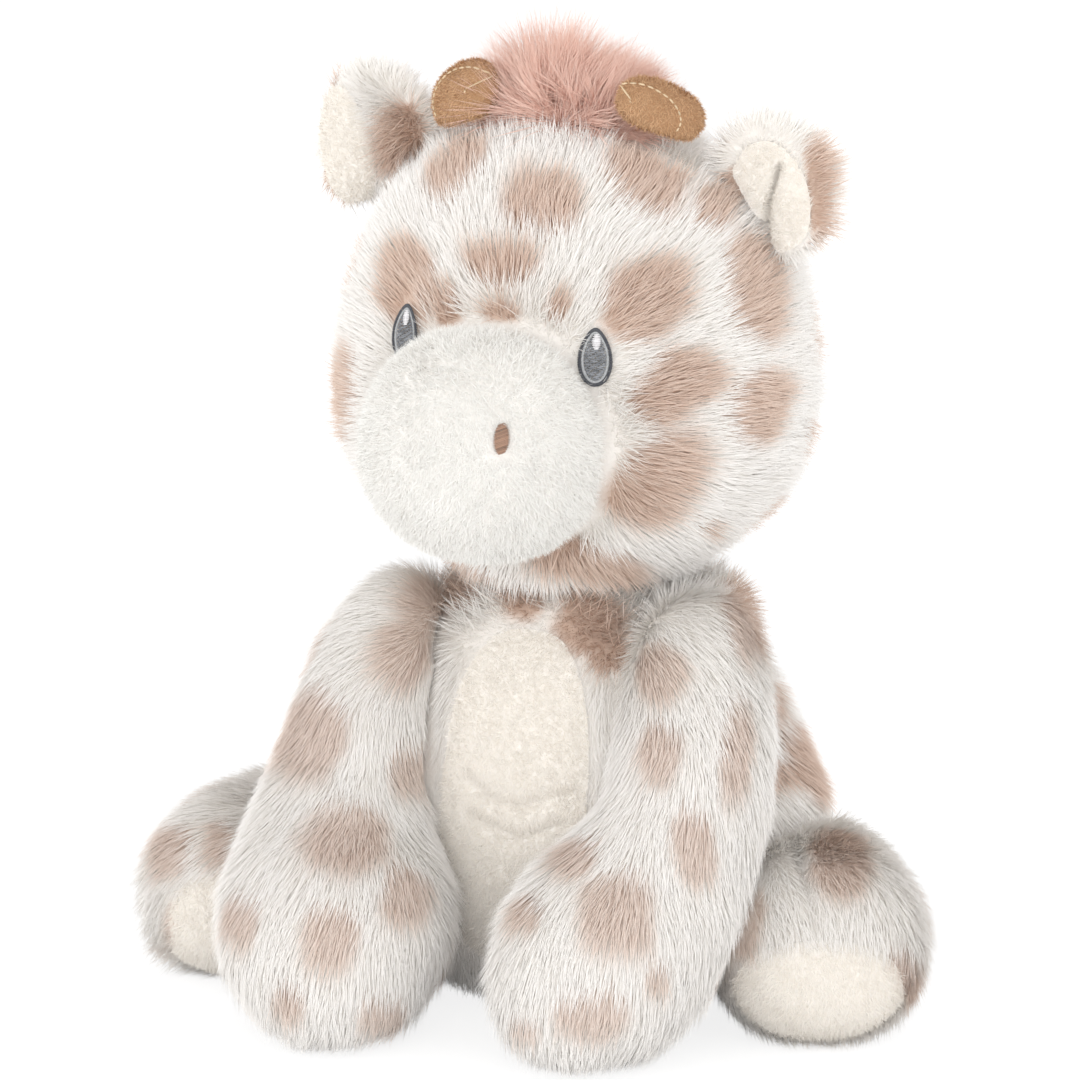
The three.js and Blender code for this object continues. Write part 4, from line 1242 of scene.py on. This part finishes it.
for number, (side, outward) in enumerate(SIDES):
    back_skin = stuffed(f"{side}_ear_skin", [f"{side}_ear_back"], voxel=0.0022, rounds=8, swell=0)
    share = near_share(back_skin, solid_tree(f"{side}_ear_lining"), LINING_NEAR[side])
    points = points_of(back_skin)
    root = np.array([0.0, points[:, 1].mean(), points[:, 2].min()])
    away = np.linalg.norm(points - root, axis=1)
    drawn = (away - away.min()) / (away.max() - away.min())
    move_points(back_skin, points + drawn[:, None] * np.array(EAR_DRAW[side]))
    drawn_out(back_skin, *EAR_HEM[side])
    store(back_skin, "fold", creased(back_skin, EAR_FOLD, FOLD_PIXELS, FOLD_DEPTH))
    facing = normals_of(back_skin) @ np.array(toward)
    share = np.maximum(share, oval_share(photo_pixels(points_of(back_skin)), LINING_OVALS[side]))
    share = np.maximum(share, 1 + (LINING_FACING[side] - facing) * LINING_TURN)
    lining = part_of(back_skin, f"{side}_ear_velvet", share)
    hollow = np.array(box_middle(f"{side}_ear_lining")) + HOLLOW_DEPTH
    combed(back_skin, lambda p: (p - hollow) * HOLLOW_SPREAD)
    spotted(back_skin, EAR_SPOTS, facing=EAR_HIDDEN_FACING, size=0.5)
    cleared(back_skin, [solid_tree("head_cover")], EAR_SEAM)
    shortened(back_skin, np.clip((share - EAR_EDGE) / EDGE_FADE, 0, 1))
    stands_for(back_skin, EAR_FILL, f"{side}_ear_back")
    furred(back_skin, f"{side}_ear", 80 + 10 * number, EAR_PILE, EAR_STRANDS)
    points = points_of(lining)
    fold = rows(lining.data.attributes["fold"].data, "value", 1)[:, 0]
    crown = 1 - np.clip(oval_share(photo_pixels(points), LINING_OVALS[side]), 0, 1) ** 4
    move_points(lining, points + normals_of(lining) * (LINING_PUFF * crown * (1 - fold))[:, None])
    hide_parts(f"{side}_ear_lining")
    lined(lining, cream_ground, cream_velour, f"{side}_ear", "cream_velour", 84 + 10 * number,
          mirrored(LINING_COMB, outward), factor=1 - FOLD_PRESS * fold, **VELOUR_SIZES)

# Horns
# Two flat pads of tan velour, thinly filled and sewn flat to the crown, one on each side of the tuft.
# A line of stitches runs along the top edge of each.
HORN_FILL = 0.7
HORN_TILT = math.radians(25)
HORN_SQUASH = {"right": 0.70, "left": 0.55}
HORN_SHIFT = {"right": 0.0, "left": -0.0020}
HORN_COMB = (0.0, -0.6, -0.8)
HORN_FRONT = Vector((0, -0.01, 0))
HORN_VELOUR = VELOUR_SIZES | {"length": 0.0013, "density": 6e6}
SEAM_INSET = 0.82
SEAM_RISE = 0.0015
SEAM_START, SEAM_END = math.radians(-15), math.radians(195)
SEAM_STITCHES = 16
STITCH_ENDS = (0.08, 0.92)
seam_thread = thread("seam_thread", "#e6cda8")
tan_ground = backing("tan_ground", "#b58d68")
# The darker tan is the velour's painted shade deep in the pile and its random mottle.
tan_velour = velour("tan_velour", "#e6c19b", "#ad8159")
for number, (side, outward) in enumerate(SIDES):
    horn = stuffed(f"{side}_horn_pad", [f"{side}_horn"], voxel=0.0020, rounds=8, swell=0)
    along = np.array([outward * math.cos(HORN_TILT), 0.0, -math.sin(HORN_TILT)])
    upward = np.array([outward * math.sin(HORN_TILT), 0.0, math.cos(HORN_TILT)])
    points = points_of(horn)
    height = (points - points.mean(0)) @ upward
    lower = (1 - HORN_SQUASH[side]) * (height.max() - height)
    move_points(horn, points + lower[:, None] * upward + np.array(right) * HORN_SHIFT[side])
    stands_for(horn, HORN_FILL, f"{side}_horn")
    lined(horn, tan_ground, tan_velour, "head", "tan_velour", 100 + number, HORN_COMB,
          [solid_tree("head_cover")], **HORN_VELOUR)
    points = points_of(horn)
    middle = points.mean(0)
    wide, high = (np.abs((points - middle) @ way).max() * SEAM_INSET for way in (along, upward))
    patch = Patch(surface_of(horn), Vector(middle) + HORN_FRONT, tuple(upward), SEAM_RISE)
    seam = []
    for step in range(SEAM_STITCHES):
        turns = [SEAM_START + (SEAM_END - SEAM_START) * (step + end) / SEAM_STITCHES for end in STITCH_ENDS]
        (x0, y0), (x1, y1) = ((-wide * math.cos(turn), high * math.sin(turn)) for turn in turns)
        seam.append(patch.stitch(x0, y0, x1, y1))
    stitched(f"{side}_horn_seam", seam, THREAD, seam_thread, "tan_velour", 104 + number)

# Tuft
# A shock of long rose pile between the horns, which parts low in front and fans up and to the sides.
# It is a thin pad of pile cloth, sewn down round its edge.
TUFT_PILE = 0.023
TUFT_SEAM = 0.0010
TUFT_FILL = 0.4
TUFT_SHARES = np.array([0.88, 0.8, 0.62])
TUFT_PARTING = (545, 132)
TUFT_SLOPE = 0.4
TUFT_SLOPE_PIXELS = 100
TUFT_FLATNESS = 0.8
TUFT_RISE = np.array([0.0, 0.0, 0.3])
TUFT_UNEVEN = (0.84, 0.2, 0.011)
ROSE_TIP = "#f9dccf"
# The darker rose at the root is painted shade deep in the pile.
ROSE_SHADED_ROOT = "#e2b8a8"


def spotless(piece):
    """Stores that a piece has no spots."""
    store(piece, "spot", np.zeros(len(piece.data.vertices)))


def tuft_comb(points):
    """Away from the parting low in front, up and to both sides."""
    away = points - np.array(parting)
    away /= np.linalg.norm(away, axis=1, keepdims=True)
    away -= TUFT_FLATNESS * np.maximum(0, away @ np.array(toward))[:, None] * np.array(toward)
    return away + TUFT_RISE


rose_pile = plush("rose_pile", (ROSE_TIP, ROSE_TIP), (ROSE_SHADED_ROOT, ROSE_SHADED_ROOT), streak=0.8)
rose_ground = backing("rose_ground", "#d8a592")
tuft_skin = stuffed("tuft_skin", ["crown_tuft"], voxel=0.0026, rounds=10, swell=0)
points = points_of(tuft_skin)
low, high = points.min(0), points.max(0)
root = np.array([(low[0] + high[0]) / 2, (low[1] + high[1]) / 2, low[2]])
move_points(tuft_skin, root + (points - root) * TUFT_SHARES)
parting = place_seen_at(head_surface, TUFT_PARTING)
combed(tuft_skin, tuft_comb)
cleared(tuft_skin, [solid_tree("head_cover")], TUFT_SEAM)
points = points_of(tuft_skin)
beyond = np.clip((photo_pixels(points)[:, 0] - TUFT_PARTING[0]) / TUFT_SLOPE_PIXELS, 0, 1)
uneven = TUFT_UNEVEN[0] + TUFT_UNEVEN[1] * waves(points, TUFT_UNEVEN[2])
shortened(tuft_skin, uneven * (1 - TUFT_SLOPE * beyond))
stands_for(tuft_skin, TUFT_FILL, "crown_tuft")
based(tuft_skin, rose_ground, "head")
spotless(tuft_skin)
pile("tuft_fur", tuft_skin, rose_pile, "head", "rose_pile", 110, density=8.0e6, length=TUFT_PILE,
     width=0.00034, lean=0.8, gather=0.6, scatter=0.8, swirl=3.4, locks=2.5e5, segments=2)

# Front legs
# Long stuffed legs that hang from the shoulders and end in round paws in front of the toy.
# They are the body's plush, filled and sewn shut at the shoulder seam, where they swing.
LEG_PILE = 0.0088
LEG_SEAM = 0.0020
LEG_LEAN = 1.6
LEG_STRANDS = (1.21e6, 1.21e6)
LEG_SPOT_DEPTH = 0.62
SHOULDER_START = 0.075
SHOULDER_DEPTH = 0.025
SHOULDER_COMB = (0.85, -0.45, -0.35)
FRONT_COMB = np.array([0.0, -0.35, -1.0])
FRONT_LEG_SPOTS = {
    "right": (
        (430, 602, 84, 70, 20), (403, 655, 78, 74, 10), (300, 738, 96, 84, -38), (415, 775, 50, 50, 0),
        (345, 838, 96, 72, -10), (412, 900, 60, 62, 20), (330, 940, 66, 70, 0), (232, 925, 40, 56, 0),
        (385, 1022, 50, 34, 0), (285, 1010, 40, 40, 0),
    ),
    "left": (
        (655, 668, 60, 64, 0), (655, 755, 48, 60, 6), (742, 755, 40, 106, 8), (698, 850, 46, 84, -18),
        (752, 606, 44, 116, -8), (615, 918, 80, 90, 0), (568, 855, 52, 44, -20), (515, 915, 36, 46, 0),
        (592, 1022, 88, 50, 0), (520, 1035, 40, 26, 0), (660, 985, 30, 30, 0),
    ),
}


def leg_comb(points, outward):
    """Down the leg, and away from the neck at the shoulder."""
    top = np.clip((points[:, 2:] - SHOULDER_START) / SHOULDER_DEPTH, 0, 1)
    return FRONT_COMB * (1 - top) + mirrored(SHOULDER_COMB, outward) * top


for number, (side, outward) in enumerate(SIDES):
    limb = f"{side}_front_leg"
    skin = stuffed(f"{limb}_skin", [f"{limb}_cover", f"{limb}_stuffing"])
    drawn_out(skin, NECK_CORNER, NECK_WIDE, NECK_DRAW)
    combed(skin, lambda points: leg_comb(points, outward))
    spotted(skin, FRONT_LEG_SPOTS[side], LEG_SPOT_DEPTH)
    others = solid_tree("body_cover", f"{side}_hind_leg_cover", "head_cover")
    cleared(skin, [others], LEG_SEAM, PRESSED_PILE)
    stands_for(skin, FIRM_FILL, f"{limb}_cover", f"{limb}_stuffing")
    furred(skin, limb, 120 + 10 * number, LEG_PILE, LEG_STRANDS, lean=LEG_LEAN)

# Hind legs
# Short round legs that point forward and outward, sewn on at the hips, where they splay.
# Each foot ends in a cream velour sole.
SOLE_NEAR = 0.0012
SOLE_OVALS = {"right": (232, 938, 116, 150, -14), "left": (817, 993, 170, 104, -3)}
SOLE_SQUARE = 2.4
HIND_CREASE = ((786, 818), (797, 850), (814, 922))
HIND_CREASE_WIDE = 7
HIND_CREASE_DEEP = 0.0016
HIND_CREASE_PRESS = 0.4
SOLE_EDGE = 0.8
HIND_COMB = (0.4, -0.6, -0.5)
HIND_LEG_SPOTS = {
    "right": ((160, 850, 44, 70, 0), (214, 840, 30, 56, 0), (170, 935, 36, 50, 0)),
    "left": (
        (843, 860, 72, 84, 0), (772, 836, 40, 26, 0), (742, 930, 34, 84, 12), (911, 985, 44, 58, 0),
        (934, 908, 24, 60, -20), (705, 1010, 60, 34, 0),
    ),
}
for number, (side, outward) in enumerate(SIDES):
    limb = f"{side}_hind_leg"
    skin = stuffed(f"{limb}_skin", [f"{limb}_cover", f"{limb}_sole", f"{limb}_stuffing"])
    share = near_share(skin, solid_tree(f"{limb}_sole"), SOLE_NEAR)
    share = np.maximum(share, oval_share(photo_pixels(points_of(skin)), SOLE_OVALS[side], SOLE_SQUARE))
    sole = part_of(skin, f"{side}_sole", share)
    fold = creased(skin, HIND_CREASE, HIND_CREASE_WIDE, HIND_CREASE_DEEP)
    combed(skin, mirrored(HIND_COMB, outward))
    spotted(skin, HIND_LEG_SPOTS[side], LEG_SPOT_DEPTH)
    cleared(skin, [solid_tree("body_cover", f"{side}_front_leg_cover")], LEG_SEAM, PRESSED_PILE)
    shortened(skin, np.clip((share - SOLE_EDGE) / EDGE_FADE, 0, 1) * (1 - HIND_CREASE_PRESS * fold))
    stands_for(skin, FIRM_FILL, f"{limb}_cover", f"{limb}_stuffing")
    furred(skin, limb, 140 + 10 * number, LEG_PILE, LEG_STRANDS, lean=LEG_LEAN)
    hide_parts(f"{limb}_sole")
    lined(sole, cream_ground, cream_velour, limb, "cream_velour", 144 + 10 * number, DOWN, **VELOUR_SIZES)

# Tail
# A thin plush cord, stuffed and sewn to the back of the body, with a tuft of the rose pile at its end.
# The photograph doesn't show it, and it follows what such toys have.
TAIL_VOXEL = 0.0018
TAIL_COMB = (0.0, 0.5, -1.0)
STEM_PILE = 0.0045
STEM_STRANDS = (2e6, 2e6)
STEM_FILL = 0.7
END_PILE = 0.009


def tail_part(node, rounds, beside, reach):
    """A thin stuffed piece of the tail, combed and without spots."""
    skin = stuffed(f"{node}_skin", [node], voxel=TAIL_VOXEL, rounds=rounds, swell=0)
    spotless(skin)
    combed(skin, TAIL_COMB)
    cleared(skin, [solid_tree(other) for other in beside], reach)
    return skin


stem_skin = tail_part("tail_stem", 6, ("body_cover", "tail_tuft"), 0.0010)
stands_for(stem_skin, STEM_FILL, "tail_stem")
furred(stem_skin, "tail", 170, STEM_PILE, STEM_STRANDS)
end_skin = tail_part("tail_tuft", 8, ("tail_stem",), 0.0008)
stands_for(end_skin, TUFT_FILL, "tail_tuft")
based(end_skin, rose_ground, "tail")
pile("tail_fur", end_skin, rose_pile, "tail", "rose_pile", 175, density=3e6, length=END_PILE,
     width=0.00044, lean=1.2, gather=0.5)
